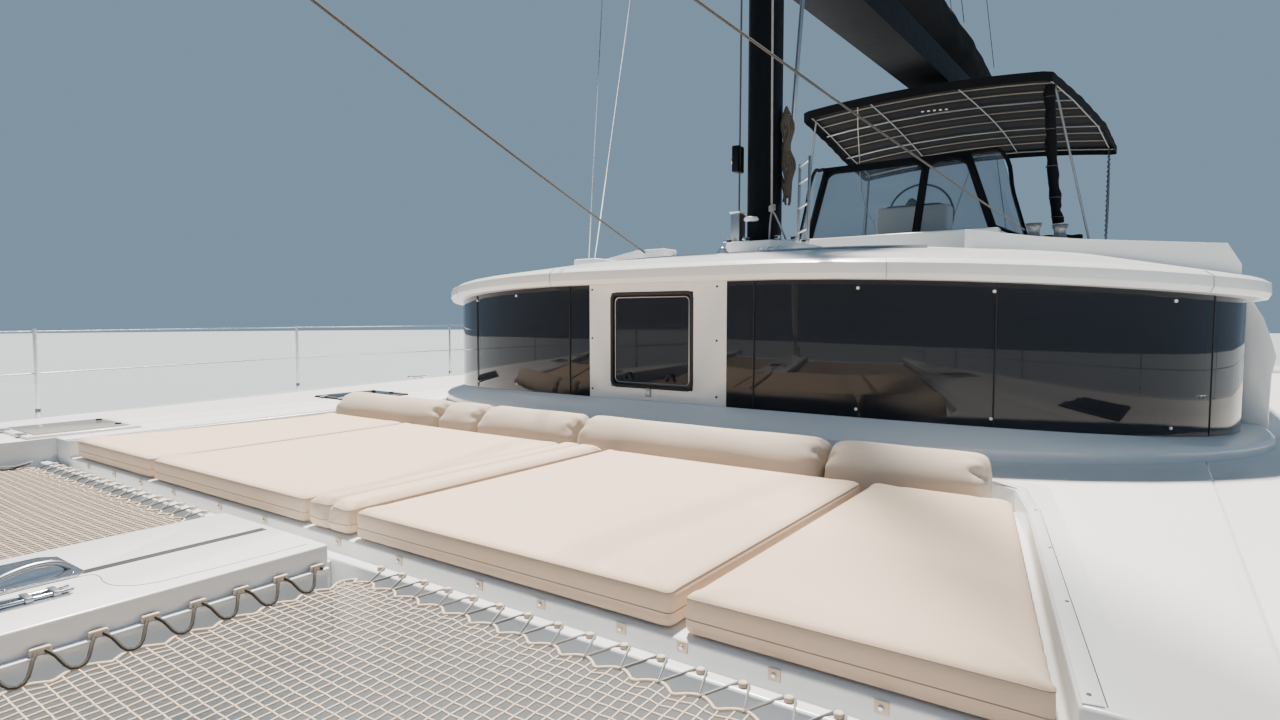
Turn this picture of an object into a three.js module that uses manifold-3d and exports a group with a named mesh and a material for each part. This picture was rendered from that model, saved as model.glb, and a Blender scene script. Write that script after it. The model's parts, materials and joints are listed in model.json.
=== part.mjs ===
// A 62 ft flybridge cruising catamaran, afloat. Millimetres, +X forward, +Y port, +Z up.
// The origin lies on the waterline amidships.
import * as THREE from "three";
import { mergeVertices } from "three/addons/utils/BufferGeometryUtils.js";
import Module from "manifold-3d";

const wasm = await Module();
wasm.setup();

// Driving dimensions
const GAP = 0.3; // between faces that touch
const HALF_LENGTH = 9450;
const HALF_BEAM = 5000;
const INNER_SIDE = 2800; // inboard side of each hull, from the centreline
const DECK = 2100;
const GUNWALE = 2030; // deck height along the outer edge
const CANOE_DEPTH = 780;
const DRAFT = 1550;
const TUNNEL = 900; // underside of the bridgedeck
const SALOON_FLOOR = 1300;
const FOREDECK_FRONT = 5200;
const BEAM_X = 8400;
const LONGERON_HALF = 345;
const LONGERON_TOP = 2070;
const NET_TOP = 1960;
const GLASS_FRONT = 2860;
const GLASS_SIDE = 3000;
const SILL = 2290; // at the centreline
const HEADER = 3030;
const DROOP = 114; // of sill, header and brow, from the centreline to the side
const ROOF_TOP = 3300;
const FLY_FLOOR = 3160;
const FLY_DECK = 3470; // raised sides and surround of the flybridge
const FLY_RAIL = 3620;
const BULKHEAD = -3300;
const ROOF_AFT = -7200;
const MAST_X = 1280;
const MASTHEAD = 30900;
const BOOM_FRONT = 1020;
const BOOM_LOW = 5700; // underside of the boom at its front end
const BOOM_LENGTH = 9000;
const BOOM_RISE = Math.atan(0.42 / 9); // the boom climbs this much going aft
const CHAINPLATE = [-2250, 4800];
const CUSHION = 120;
const ENGINE_BAY = { x0: -6850, x1: -5750, y0: 3450, y1: 4350, floor: 300 };
const PROPELLER = { x: -7000, y: 3880, z: -740, radius: 260 };
const RUDDER = { x: -8350, y: 3820, top: -330, bottom: -1350, bearing: -300 };

const COLOURS = {
  gelcoat: [0xf2f3f2, 0.35, 0],
  glass: [0x16181b, 0.08, 0],
  black: [0x111214, 0.45, 0.2],
  canvas: [0x17181a, 0.9, 0],
  cushion: [0xb9a995, 0.85, 0],
  net: [0xb8a58b, 0.9, 0],
  steel: [0xc9ccd0, 0.25, 1],
  bronze: [0xb08a4a, 0.35, 1],
  engine: [0x7d8286, 0.5, 0.6],
  wood: [0x8a6a4a, 0.6, 0],
};

const boat = new THREE.Group();

function material(look) {
  const [color, roughness, metalness] = COLOURS[look];
  return new THREE.MeshStandardMaterial({ color, roughness, metalness });
}

function add(name, geometry, look) {
  const mesh = new THREE.Mesh(geometry, material(look));
  mesh.name = name;
  boat.add(mesh);
}

function mirrored(geometry) {
  const copy = geometry.index ? geometry.toNonIndexed() : geometry.clone();
  const p = copy.attributes.position;
  const flipped = new Float32Array(p.count * 3);
  for (let i = 0; i < p.count; i += 3) {
    [0, 2, 1].forEach((from, to) => {
      flipped.set([p.getX(i + from), -p.getY(i + from), p.getZ(i + from)], (i + to) * 3);
    });
  }
  return new THREE.BufferGeometry().setAttribute("position", new THREE.BufferAttribute(flipped, 3));
}

function addPair(name, geometry, look) {
  add(`${name}_port`, geometry, look);
  add(`${name}_starboard`, mirrored(geometry), look);
}

// Solids and their joins
function solid(geometry) {
  const g = geometry.clone();
  g.deleteAttribute("normal");
  g.deleteAttribute("uv");
  const merged = mergeVertices(g, 1e-3);
  return new wasm.Manifold(
    new wasm.Mesh({
      numProp: 3,
      vertProperties: merged.attributes.position.array,
      triVerts: new Uint32Array(merged.index.array),
    }),
  );
}

function geometryOf(manifold) {
  const m = manifold.getMesh();
  const positions = new Float32Array(m.numVert * 3);
  for (let i = 0; i < m.numVert; i++) {
    positions.set(m.vertProperties.subarray(i * m.numProp, i * m.numProp + 3), i * 3);
  }
  return new THREE.BufferGeometry()
    .setAttribute("position", new THREE.BufferAttribute(positions, 3))
    .setIndex(new THREE.BufferAttribute(new Uint32Array(m.triVerts), 1));
}

const join = (...parts) => geometryOf(parts.map(solid).reduce((a, b) => a.add(b)));
const cut = (whole, ...tools) => geometryOf(tools.map(solid).reduce((a, b) => a.subtract(b), solid(whole)));

// Basic shapes
function box([x0, x1], [y0, y1], [z0, z1]) {
  return new THREE.BoxGeometry(x1 - x0, y1 - y0, z1 - z0).translate((x0 + x1) / 2, (y0 + y1) / 2, (z0 + z1) / 2);
}

function rod(from, to, radius, sides = 8, endRadius = radius) {
  const a = new THREE.Vector3(...from);
  const b = new THREE.Vector3(...to);
  const g = new THREE.CylinderGeometry(endRadius, radius, a.distanceTo(b), sides);
  const turn = new THREE.Quaternion().setFromUnitVectors(new THREE.Vector3(0, 1, 0), b.clone().sub(a).normalize());
  return g.applyQuaternion(turn).translate(...a.add(b).multiplyScalar(0.5).toArray());
}

// What of a shape lies over a height
const above = (z, geometry) => cut(geometry, box([-12000, 12000], [-6000, 6000], [z - 2000, z]));

// An outline of [x, y] points stood up between two heights
function prism(outline, z0, z1) {
  const shape = new THREE.Shape(outline.map(([x, y]) => new THREE.Vector2(x, y)));
  return new THREE.ExtrudeGeometry(shape, { depth: z1 - z0, bevelEnabled: false }).translate(0, 0, z0);
}

// An outline of [x, z] points drawn across the boat between two widths
function profile(outline, y0, y1) {
  const shape = new THREE.Shape(outline.map(([x, z]) => new THREE.Vector2(x, z)));
  const g = new THREE.ExtrudeGeometry(shape, { depth: y1 - y0, bevelEnabled: false });
  return g.rotateX(Math.PI / 2).translate(0, y1, 0);
}

// A skin through rings of [x, y, z] points, with a cap at each end; the rings run anticlockwise
// seen from the last one. A fan cap spreads from the first point, a ladder cap has rungs across
function loft(rings, cap = "fan") {
  const n = rings[0].length;
  const index = [];
  for (let r = 0; r < rings.length - 1; r++) {
    for (let i = 0; i < n; i++) {
      const a = r * n + i;
      const b = r * n + ((i + 1) % n);
      index.push(a, b, b + n, a, b + n, a + n);
    }
  }
  const last = (rings.length - 1) * n;
  for (let i = 1; i < n - 1; i++) {
    const k = Math.ceil(i / 2);
    const rung = i % 2 ? [k - 1, k, n - k] : [k, n - k - 1, n - k];
    const [a, b, c] = cap === "fan" ? [0, i, i + 1] : rung;
    index.push(a, c, b, last + a, last + b, last + c);
  }
  const positions = new Float32Array(rings.flat(2));
  return new THREE.BufferGeometry().setAttribute("position", new THREE.BufferAttribute(positions, 3)).setIndex(index);
}

// Hulls
const BOW_TAPER = { from: 2000, outer: 1560, inner: 600 };

function outerSide(x) {
  const aft = 150 * Math.max(0, (-x - 4000) / (HALF_LENGTH - 4000)) ** 2;
  const bow = Math.max(0, (x - BOW_TAPER.from) / (HALF_LENGTH - BOW_TAPER.from)) ** 1.1;
  return HALF_BEAM - aft - BOW_TAPER.outer * bow;
}

function innerSide(x) {
  const bow = Math.max(0, (x - FOREDECK_FRONT - 100) / (HALF_LENGTH - FOREDECK_FRONT - 100));
  return INNER_SIDE + BOW_TAPER.inner * bow ** 1.3;
}

function canoeDepth(x) {
  const along = (x + HALF_LENGTH) / (2 * HALF_LENGTH);
  return CANOE_DEPTH * Math.sin(Math.PI * (0.06 + 0.9 * along));
}

function hullRing(x) {
  const outer = outerSide(x);
  const inner = innerSide(x);
  const middle = (outer + inner) / 2;
  const half = (outer - inner) / 2;
  const d = canoeDepth(x);
  const strip = Math.min(300, 0.25 * (outer - inner));
  const slope = Math.min(200, 0.2 * (outer - inner));
  const below = [
    [0.8, 0],
    [0.74, -0.4],
    [0.46, -0.84],
  ];
  const side = (sign) => below.map(([w, z]) => [x, middle + sign * w * half, z * d]);
  return [
    [x, middle, -d],
    ...side(1).reverse(),
    [x, middle + 0.95 * half, 900],
    [x, outer, GUNWALE - 260],
    [x, outer - 20, GUNWALE],
    [x, outer - 20 - strip, GUNWALE],
    [x, outer - 20 - strip - slope, DECK],
    [x, inner, DECK],
    [x, inner, TUNNEL - 60],
    ...side(-1),
  ];
}

const HULL_STATIONS = [-9450, -8200, -6800, -5000, -3000, -1000, 1000, 2600, 4000, 5300, 6400, 7500, 8500, 9150, 9450];
const STEPS = [
  { x0: -9600, x1: -8500, z: 450 },
  { x0: -8510, x1: -8150, z: 780 },
  { x0: -8160, x1: -7800, z: 1110 },
  { x0: -7810, x1: -7450, z: 1440 },
  { x0: -7460, x1: -7100, z: 1770 },
];

function hull() {
  const skin = loft(HULL_STATIONS.map(hullRing));
  const slope = profile([[-7050, DECK + 1], [-9600, DECK + 1], [-9600, 620], [-9300, 700]], INNER_SIDE - 100, HALF_BEAM + 100);
  const treads = STEPS.map(({ x0, x1, z }) => box([x0, x1], [INNER_SIDE + 160, HALF_BEAM - 420], [z, DECK + 10]));
  const bay = box([ENGINE_BAY.x0, ENGINE_BAY.x1], [ENGINE_BAY.y0, ENGINE_BAY.y1], [ENGINE_BAY.floor, DECK + 10]);
  const bearing = rod([RUDDER.x, RUDDER.y, RUDDER.bearing], [RUDDER.x, RUDDER.y, -100], 90, 16);
  return join(cut(skin, slope, ...treads, bay), keel(), bearing);
}

function keel() {
  const middle = (HALF_BEAM + INNER_SIDE) / 2;
  const ring = (z, x0, x1, half) => {
    const chord = x1 - x0;
    const fractions = [
      [1, 0],
      [0.85, 0.8],
      [0.55, 1],
      [0.25, 0.7],
      [0, 0],
      [0.25, -0.7],
      [0.55, -1],
      [0.85, -0.8],
    ];
    return fractions.map(([a, b]) => [x0 + a * chord, middle + b * half, z]);
  };
  return loft([ring(-DRAFT, -1500, 1600, 130), ring(-DRAFT + 250, -1650, 1800, 190), ring(-500, -1700, 2150, 210)]);
}

const hullShape = hull();
addPair("hull", hullShape, "gelcoat");
const hullBoth = [hullShape, mirrored(hullShape)];

// Plan of the coachroof at an inset from its glass line: a straight side, then a quarter of an
// ellipse round to a flat front; each point has its share of the droop
const CORNER = { x: 1200, y: 515, steps: 12 };

function planSide(inset, aft) {
  const reachX = GLASS_FRONT - inset - CORNER.x;
  const reachY = GLASS_SIDE - inset - CORNER.y;
  const points = [{ x: aft, y: GLASS_SIDE - inset, share: 1 }];
  for (let i = 0; i <= CORNER.steps; i++) {
    const angle = (Math.PI / 2) * (1 - i / CORNER.steps);
    const [c, s] = [Math.cos(angle), Math.sin(angle)];
    points.push({ x: CORNER.x + reachX * c, y: CORNER.y + reachY * s, share: s * s });
  }
  return points;
}

// The whole plan, from the starboard quarter round the bow side to the port quarter
function plan(inset, aft) {
  const port = planSide(inset, aft);
  return [...port.map(({ x, y, share }) => ({ x, y: -y, share })), ...port.reverse()];
}

const flat = (inset, aft) => plan(inset, aft).map(({ x, y }) => [x, y]);
const drooped = (inset, aft, z, part = 1) => plan(inset, aft).map(({ x, y, share }) => [x, y, z - DROOP * part * share]);

// Bridgedeck: foredeck with the sunbed's recess, saloon floor and cockpit in one moulding
const DECK_HALF = INNER_SIDE - GAP;
const SUNBED = { floor: 2000, back: 3150, port: [2108, 2470], starboard: -2600, front: 5108 };
const LEDGE = { z: 1970, gutter: 1935, lip: 5152 };
const SALOON_HALF = 2650;
const sunbedRecess = prism(
  [
    [SUNBED.back + 120, SUNBED.starboard],
    [5140, SUNBED.starboard],
    [5140, SUNBED.port[1]],
    [SUNBED.back + 450, SUNBED.port[0] + 82],
    [SUNBED.back + 120, SUNBED.port[0]],
    [SUNBED.back, SUNBED.port[0] - 120],
    [SUNBED.back, SUNBED.starboard + 120],
  ],
  SUNBED.floor,
  DECK + 10,
);
add(
  "bridgedeck",
  cut(
    box([-7000, FOREDECK_FRONT], [-DECK_HALF, DECK_HALF], [TUNNEL, DECK]),
    sunbedRecess,
    box([SUNBED.front, FOREDECK_FRONT + 10], [-DECK_HALF - 10, DECK_HALF + 10], [LEDGE.z, DECK + 10]),
    box([SUNBED.front, LEDGE.lip], [-DECK_HALF - 10, DECK_HALF + 10], [LEDGE.gutter, DECK + 10]),
    prism(flat(GLASS_SIDE - SALOON_HALF, -6900), SALOON_FLOOR, DECK + 10),
    box([-7010, -6890], [-1000, 1000], [SALOON_FLOOR, DECK + 10]),
  ),
  "gelcoat",
);

// Bow: crossbeam, longeron and the two nets
const LONGERON_BOTTOM = 1700;
const LONGERON_AFT = 5300; // a lower neck joins it to the foredeck
const BEAM_HALF_HEIGHT = 130;
const BEAM_Z = 1840;
const beamBody = new THREE.CylinderGeometry(150, 150, 6600, 16).scale(1, 1, BEAM_HALF_HEIGHT / 150);
beamBody.translate(BEAM_X, 0, BEAM_Z);
add("bow_crossbeam", cut(beamBody, ...hullBoth.map((h, i) => h.clone().translate(0, i ? 0.4 : -0.4, 0))), "gelcoat");
add(
  "longeron",
  cut(
    join(
      box([LONGERON_AFT, BEAM_X + 260], [-LONGERON_HALF, LONGERON_HALF], [LONGERON_BOTTOM, LONGERON_TOP]),
      box([FOREDECK_FRONT + GAP, LONGERON_AFT + 10], [-200, 200], [LONGERON_BOTTOM, NET_TOP]),
    ),
    box([5900, BEAM_X + 270], [-6, 6], [LONGERON_TOP - 12, LONGERON_TOP + 10]),
    new THREE.CylinderGeometry(150 + GAP, 150 + GAP, 800, 16)
      .scale(1, 1, (BEAM_HALF_HEIGHT + GAP) / 150)
      .translate(BEAM_X, 0, BEAM_Z),
  ),
  "gelcoat",
);

function net() {
  const aft = FOREDECK_FRONT + GAP;
  const fore = BEAM_X - 160;
  const outline = [
    [aft, LONGERON_HALF + GAP],
    [fore, LONGERON_HALF + GAP],
    [fore, innerSide(fore) + 50],
    [aft, INNER_SIDE + 50],
  ];
  const slab = prism(outline, NET_TOP - 25, NET_TOP);
  return cut(slab, hullShape.clone().translate(0, -0.4, 0));
}
addPair("trampoline", net(), "net");

// Coachroof: moulded base with its pillars, window panel, glazing and roof
const WALL = 130;

// A section of { inset, z, part } points carried along the plan, with its ends closed
function sweep(section, line) {
  return loft(
    line(0).map((_, i) =>
      section.map(({ inset, z, part = 1 }) => {
        const { x, y, share } = line(inset)[i];
        return [x, y, z - DROOP * part * share];
      }),
    ),
  );
}

// Pillars: by the angle round the corner, then by place along the side
const PILLAR_ANGLES = [4, 34, 68];
const PILLAR_PLACES = [-600, -2900];
const PILLAR_INSET = 110;
function pillars() {
  const turned = PILLAR_ANGLES.map((degrees) => {
    const angle = THREE.MathUtils.degToRad(degrees);
    return {
      x: CORNER.x + (GLASS_FRONT - PILLAR_INSET - CORNER.x) * Math.cos(angle),
      y: CORNER.y + (GLASS_SIDE - PILLAR_INSET - CORNER.y) * Math.sin(angle),
      top: HEADER - DROOP * Math.sin(angle) ** 2 - 4,
    };
  });
  const along = PILLAR_PLACES.map((x) => ({ x, y: GLASS_SIDE - PILLAR_INSET, top: HEADER - DROOP - 4 }));
  return [...turned, ...along].flatMap(({ x, y, top }) =>
    [-1, 1].map((s) => box([x - 45, x + 45], [s * y - 45, s * y + 45], [DECK + GAP, top])),
  );
}

const BASE_SECTION = [
  { inset: WALL, z: SILL },
  { inset: 0, z: SILL },
  { inset: -40, z: SILL - 25, part: 0.9 },
  { inset: -130, z: DECK + 95, part: 0.35 },
  { inset: -150, z: DECK + 75, part: 0.3 },
  { inset: -150, z: DECK + GAP, part: 0 },
  { inset: WALL, z: DECK + GAP, part: 0 },
];
add("coachroof_base", join(sweep(BASE_SECTION, (inset) => plan(inset, BULKHEAD)), ...pillars()), "gelcoat");

const PANEL_HALF = CORNER.y - GAP;
const PORTHOLE = { y0: -335, y1: 285, z0: 2370, z1: 2975 };
add(
  "centre_panel",
  cut(
    box([GLASS_FRONT - 110, GLASS_FRONT], [-PANEL_HALF, PANEL_HALF], [SILL + GAP, HEADER - GAP]),
    box([GLASS_FRONT - 120, GLASS_FRONT + 10], [PORTHOLE.y0, PORTHOLE.y1], [PORTHOLE.z0, PORTHOLE.z1]),
  ),
  "gelcoat",
);
add(
  "centre_window",
  box(
    [GLASS_FRONT - 40, GLASS_FRONT - 10],
    [PORTHOLE.y0 + GAP, PORTHOLE.y1 - GAP],
    [PORTHOLE.z0 + GAP, PORTHOLE.z1 - GAP],
  ),
  "glass",
);

const PANE = 16;
const PANE_SECTION = [
  { inset: PANE, z: SILL + GAP },
  { inset: 0, z: SILL + GAP },
  { inset: 0, z: HEADER - GAP },
  { inset: PANE, z: HEADER - GAP },
];
const frontPane = sweep(PANE_SECTION, (inset) => planSide(inset, CORNER.x).slice(1));
addPair("front_glass", frontPane, "glass");

const PANE_LOW = SILL - DROOP + GAP;
const PANE_HIGH = HEADER - DROOP - GAP;
const sideGlass = box([BULKHEAD + 60, CORNER.x - GAP], [GLASS_SIDE - PANE, GLASS_SIDE], [PANE_LOW, PANE_HIGH]);
addPair("side_glass", sideGlass, "glass");

// Roof: its underside runs in from the brow over the glass; raised mouldings run along both sides
const ROOF_SECTION = [
  { inset: 250, z: HEADER },
  { inset: 25, z: HEADER },
  { inset: -5, z: HEADER },
  { inset: -90, z: HEADER },
  { inset: -105, z: HEADER + 30 },
  { inset: -102, z: HEADER + 85 },
  { inset: -60, z: HEADER + 112 },
  { inset: 700, z: ROOF_TOP - 48, part: 0.5 },
];
const RAISED = {
  fore: 1000,
  section: [[1435, 3000], [2983, 3000], [2983, 3136], [2913, 3264], [2163, 3334], [1876, 3372], [1435, 3449]],
};
const FLY = { x0: -7100, x1: -2300, half: 2200 };
const COAMING = { x0: -7100, x1: -2400, half: 2000, wall: 160 };
function roof() {
  const crown = drooped(700, ROOF_AFT, ROOF_TOP, 0).map(([x, y, z]) => [Math.min(x, MAST_X + 250), y * 0.55, z]);
  const rings = ROOF_SECTION.map(({ inset, z, part }) => drooped(inset, ROOF_AFT, z, part));
  const shell = loft([...rings, crown], "ladder");
  const raised = loft([ROOF_AFT + 100, RAISED.fore].map((x) => RAISED.section.map(([y, z]) => [x, y, z])));
  const surround = box([FLY.x0, FLY.x1], [-FLY.half, FLY.half], [FLY_FLOOR - 10, FLY_DECK]);
  const wellHalf = COAMING.half - COAMING.wall;
  const well = box([COAMING.x0 + COAMING.wall, COAMING.x1 - COAMING.wall], [-wellHalf, wellHalf], [FLY_FLOOR, 4000]);
  return cut(join(shell, raised, mirrored(raised), surround), well);
}
add("roof", roof(), "gelcoat");

// Aft bulkhead with its doorway and window, and the sliding door on its after face
const BULKHEAD_WALL = 60;
const DOORWAY = { y0: -900, y1: 0, top: 2840 };
const AFT_WINDOW = { y0: 1050, y1: 2450, z0: 2080, z1: 2780 };
const bulkheadX = [BULKHEAD - BULKHEAD_WALL, BULKHEAD - GAP];
const throughBulkhead = [BULKHEAD - BULKHEAD_WALL - 10, BULKHEAD + 10];
add(
  "aft_bulkhead",
  cut(
    join(
      box(bulkheadX, [-SALOON_HALF + GAP, SALOON_HALF - GAP], [SALOON_FLOOR + GAP, DECK + 1]),
      box(bulkheadX, [WALL - GLASS_SIDE + GAP, GLASS_SIDE - WALL - GAP], [DECK + GAP, HEADER - DROOP - GAP]),
    ),
    box(throughBulkhead, [DOORWAY.y0, DOORWAY.y1], [SALOON_FLOOR + 60, DOORWAY.top]),
    box(throughBulkhead, [AFT_WINDOW.y0, AFT_WINDOW.y1], [AFT_WINDOW.z0, AFT_WINDOW.z1]),
  ),
  "gelcoat",
);
add(
  "aft_glass",
  box(
    [BULKHEAD - 40, BULKHEAD - 28],
    [AFT_WINDOW.y0 + GAP, AFT_WINDOW.y1 - GAP],
    [AFT_WINDOW.z0 + GAP, AFT_WINDOW.z1 - GAP],
  ),
  "glass",
);
const DOOR = { thick: 40, lap: 40 };
add(
  "saloon_door",
  box(
    [bulkheadX[0] - GAP - DOOR.thick, bulkheadX[0] - GAP],
    [DOORWAY.y0 - DOOR.lap, DOORWAY.y1 + DOOR.lap],
    [SALOON_FLOOR + GAP, DOORWAY.top + 40],
  ),
  "glass",
);

// Furniture seen through the glass and in the cockpit
const SOFA = { aft: 1100, outer: 400, back: 520, inner: 1100, seat: 1780, top: 2200 };
function saloonSeat() {
  const curved = (outer, inner, high) =>
    cut(
      prism(flat(outer, SOFA.aft), SALOON_FLOOR + GAP, high),
      prism(flat(inner, SOFA.aft - 10), SALOON_FLOOR - 10, high + 10),
    );
  const galley = box([-1500, SOFA.aft + 10], [-2500, -1800], [SALOON_FLOOR + GAP, 2200]);
  return join(curved(SOFA.outer, SOFA.inner, SOFA.seat), curved(SOFA.outer, SOFA.back, SOFA.top), galley);
}
add("saloon_seat", saloonSeat(), "wood");
add(
  "cockpit_seat",
  join(
    box([-6800, -6150], [-2600, -1150], [SALOON_FLOOR + GAP, 1750]),
    box([-6800, -4200], [-2600, -1950], [SALOON_FLOOR + GAP, 1750]),
  ),
  "gelcoat",
);
add(
  "cockpit_table",
  join(
    rod([-5200, -900, SALOON_FLOOR + GAP], [-5200, -900, 2010], 110, 12),
    box([-6000, -4400], [-1700, -100], [2000, 2050]),
  ),
  "wood",
);

// Flybridge: coaming, helm, seat, windscreen and bimini
const SCREEN = { x: -2480, foot: 3830, lean: 450, thick: 15, half: 45, top: 4800, hood: -3550 };
const SCREEN_ENDS = [-1250, 1120];
add(
  "flybridge_coaming",
  cut(
    join(
      box([COAMING.x0, COAMING.x1], [-COAMING.half, COAMING.half], [FLY_DECK + GAP, FLY_RAIL]),
      box([COAMING.x1 - COAMING.wall, COAMING.x1], SCREEN_ENDS, [FLY_DECK + GAP, SCREEN.foot]),
    ),
    box(
      [COAMING.x0 + COAMING.wall, COAMING.x1 - COAMING.wall],
      [-COAMING.half + COAMING.wall, COAMING.half - COAMING.wall],
      [FLY_DECK - 10, FLY_RAIL + 10],
    ),
  ),
  "gelcoat",
);

const WHEEL = { x: -3850, y: -100, z: 4200, radius: 430 };
add(
  "helm_console",
  box([WHEEL.x + 90, WHEEL.x + 500], [WHEEL.y - 450, WHEEL.y + 450], [FLY_FLOOR + GAP, WHEEL.z + 80]),
  "gelcoat",
);
add("helm_seat", box([-5100, -4500], [-700, 700], [FLY_FLOOR + GAP, 3780]), "canvas");

function wheel() {
  const rim = new THREE.TorusGeometry(WHEEL.radius, 18, 8, 32).rotateY(Math.PI / 2);
  const hub = new THREE.CylinderGeometry(60, 60, 70, 16).rotateZ(Math.PI / 2);
  const spokes = [0, 1, 2].map((i) => {
    const angle = (i * 2 * Math.PI) / 3;
    const end = [0, WHEEL.radius * Math.sin(angle), WHEEL.radius * Math.cos(angle)];
    return rod([0, 0, 0], end, 10, 8);
  });
  const shaft = rod([0, 0, 0], [90 - GAP, 0, 0], 25, 12);
  return join(rim, hub, ...spokes, shaft).translate(WHEEL.x, WHEEL.y, WHEEL.z);
}
add("helm_wheel", wheel(), "steel");

// Three leaning posts, a head band and a small hood aft of it
const SCREEN_POSTS = [
  { foot: -1150, head: -1080 },
  { foot: 200, head: 200 },
  { foot: 1040, head: 660 },
];
// A leaning board whose foot and head run between two widths each, its face offset along the boat
function leaning(foot, head, low, high, thick, shift = 0) {
  const ring = ([y0, y1], z) => {
    const x = SCREEN.x + shift - ((z - SCREEN.foot) / (SCREEN.top - SCREEN.foot)) * SCREEN.lean;
    return [
      [x - thick, y0, z],
      [x + thick, y0, z],
      [x + thick, y1, z],
      [x - thick, y1, z],
    ];
  };
  return loft([ring(foot, low), ring(head, high)]);
}
const screenLow = SCREEN.foot + GAP;
const screenFoot = [SCREEN_POSTS[0].foot, SCREEN_POSTS[2].foot];
const screenHead = [SCREEN_POSTS[0].head, SCREEN_POSTS[2].head];
function screenFrame() {
  const { half, thick, top } = SCREEN;
  const posts = SCREEN_POSTS.map(({ foot, head }) =>
    leaning([foot - half, foot + half], [head - half, head + half], screenLow, top, thick),
  );
  const [y0, y1] = [screenHead[0] - half, screenHead[1] + half];
  const band = leaning([y0, y1], [y0, y1], top - 80, top + 20, thick);
  const head = SCREEN.x - SCREEN.lean;
  const hood = profile([[head, top - 10], [head, top + 15], [SCREEN.hood, top + 95], [SCREEN.hood, top + 70]], y0, y1);
  return join(...posts, band, hood);
}
add("windscreen_frame", screenFrame(), "canvas");
const paneHalf = 6;
const paneShift = -(SCREEN.thick + paneHalf + 2 * GAP);
add("windscreen_panel", leaning(screenFoot, screenHead, screenLow, SCREEN.top - 40, paneHalf, paneShift), "glass");

const BIMINI = [
  { x: -3100, half: 1500, crown: 5740 },
  { x: -4500, half: 1700, crown: 5770 },
  { x: -6000, half: 1900, crown: 5750 },
  { x: -7400, half: 2000, crown: 5660 },
];
const CANVAS = 20;
const CANOPY = [
  { y: -2000, drop: 140 },
  { y: -1320, drop: 61 },
  { y: -660, drop: 15 },
  { y: 0, drop: 0 },
  { y: 660, drop: 15 },
  { y: 1320, drop: 61 },
  { y: 2000, drop: 140 },
];

// A value at a place between the rows of a table that is sorted by that place, up or down
function between(rows, place, at, key) {
  const i = Math.max(1, rows.findIndex((row) => (row[place] - at) * (rows[1][place] - rows[0][place]) >= 0));
  const t = (at - rows[i - 1][place]) / (rows[i][place] - rows[i - 1][place]);
  return rows[i - 1][key] * (1 - t) + rows[i][key] * t;
}

// A point of the canvas's upper side; one curve slid along the other, so that each facet is flat
function canopyPoint(x, y) {
  return [x, y, between(BIMINI, "x", x, "crown") - between(CANOPY, "y", y, "drop")];
}

function biminiTop() {
  const rings = BIMINI.map(({ x }) => {
    const over = CANOPY.map(({ y }) => canopyPoint(x, y));
    const under = over.map(([a, y, z]) => [a, y, z - CANVAS]).reverse();
    return [...over, ...under].reverse();
  });
  const sides = [...BIMINI.map(({ x, half }) => [x, -half]), ...BIMINI.map(({ x, half }) => [x, half]).reverse()];
  return geometryOf(solid(loft(rings.reverse(), "ladder")).intersect(solid(prism(sides, 5000, 6000))));
}
add("bimini_cover", biminiTop(), "canvas");

const BOW_TUBE = 14;
const BOWS = [-3160, -4500, -6000, -7340];
const LEGS = [
  { foot: -4050, head: -3560 },
  { foot: -7020, head: -7300 },
];
const LEG_Y = 1920;

// A tube bent along points that share one x, mitred at each of them
function bentBow(points, radius, sides) {
  const rings = points.map(([x, y, z], i) => {
    const [, ay, az] = points[Math.max(0, i - 1)];
    const [, by, bz] = points[Math.min(points.length - 1, i + 1)];
    const length = Math.hypot(by - ay, bz - az);
    const [ny, nz] = [-(bz - az) / length, (by - ay) / length];
    return Array.from({ length: sides }, (_, k) => {
      const angle = (k * 2 * Math.PI) / sides;
      const [c, n] = [radius * Math.cos(angle), radius * Math.sin(angle)];
      return [x - c, y + n * ny, z + n * nz];
    });
  });
  return loft(rings);
}

function biminiFrame() {
  const steepest = THREE.MathUtils.degToRad(7); // of the canvas, at its after corners
  const drop = (CANVAS + BOW_TUBE) / Math.cos(steepest) + GAP;
  const halfAt = (x) => between(BIMINI, "x", x, "half");
  const under = (x, u) => {
    const [px, py, pz] = canopyPoint(x, u * halfAt(x));
    return [px, py, pz - drop];
  };
  const bows = BOWS.map((x) => {
    const bends = CANOPY.map(({ y }) => y / halfAt(x)).filter((u) => Math.abs(u) < 0.95);
    return bentBow([-1, ...bends, 1].map((u) => under(x, u)), BOW_TUBE, 8);
  });
  const rail = (i, u) => under(BOWS[i], u).map((v, k) => (k === 2 ? v - 8 : v));
  const sides = [-0.96, 0.96].flatMap((u) => [1, 2, 3].map((i) => rod(rail(i - 1, u), rail(i, u), 10, 6)));
  const legs = LEGS.flatMap(({ foot, head }) =>
    [-1, 1].map((s) => rod([foot, s * LEG_Y, FLY_RAIL - 20], under(head, s * 0.96).map((v, k) => (k === 2 ? v - 4 : v)), 14, 8)),
  );
  return above(FLY_RAIL + GAP, join(...bows, ...sides, ...legs));
}
add("bimini_frame", biminiFrame(), "steel");

// Rig
const GOOSENECK = { x: BOOM_FRONT + 45, low: BOOM_LOW + 60, high: BOOM_LOW + 250, radius: 30, plate: 30 };
function gooseneckCheeks() {
  const { x, low, high, radius, plate } = GOOSENECK;
  return [low - plate, high].flatMap((z) => [
    rod([x, 0, z], [x, 0, z + plate], radius, 16),
    box([x, MAST_X - 100], [-radius + 5, radius - 5], [z, z + plate]),
  ]);
}

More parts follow.
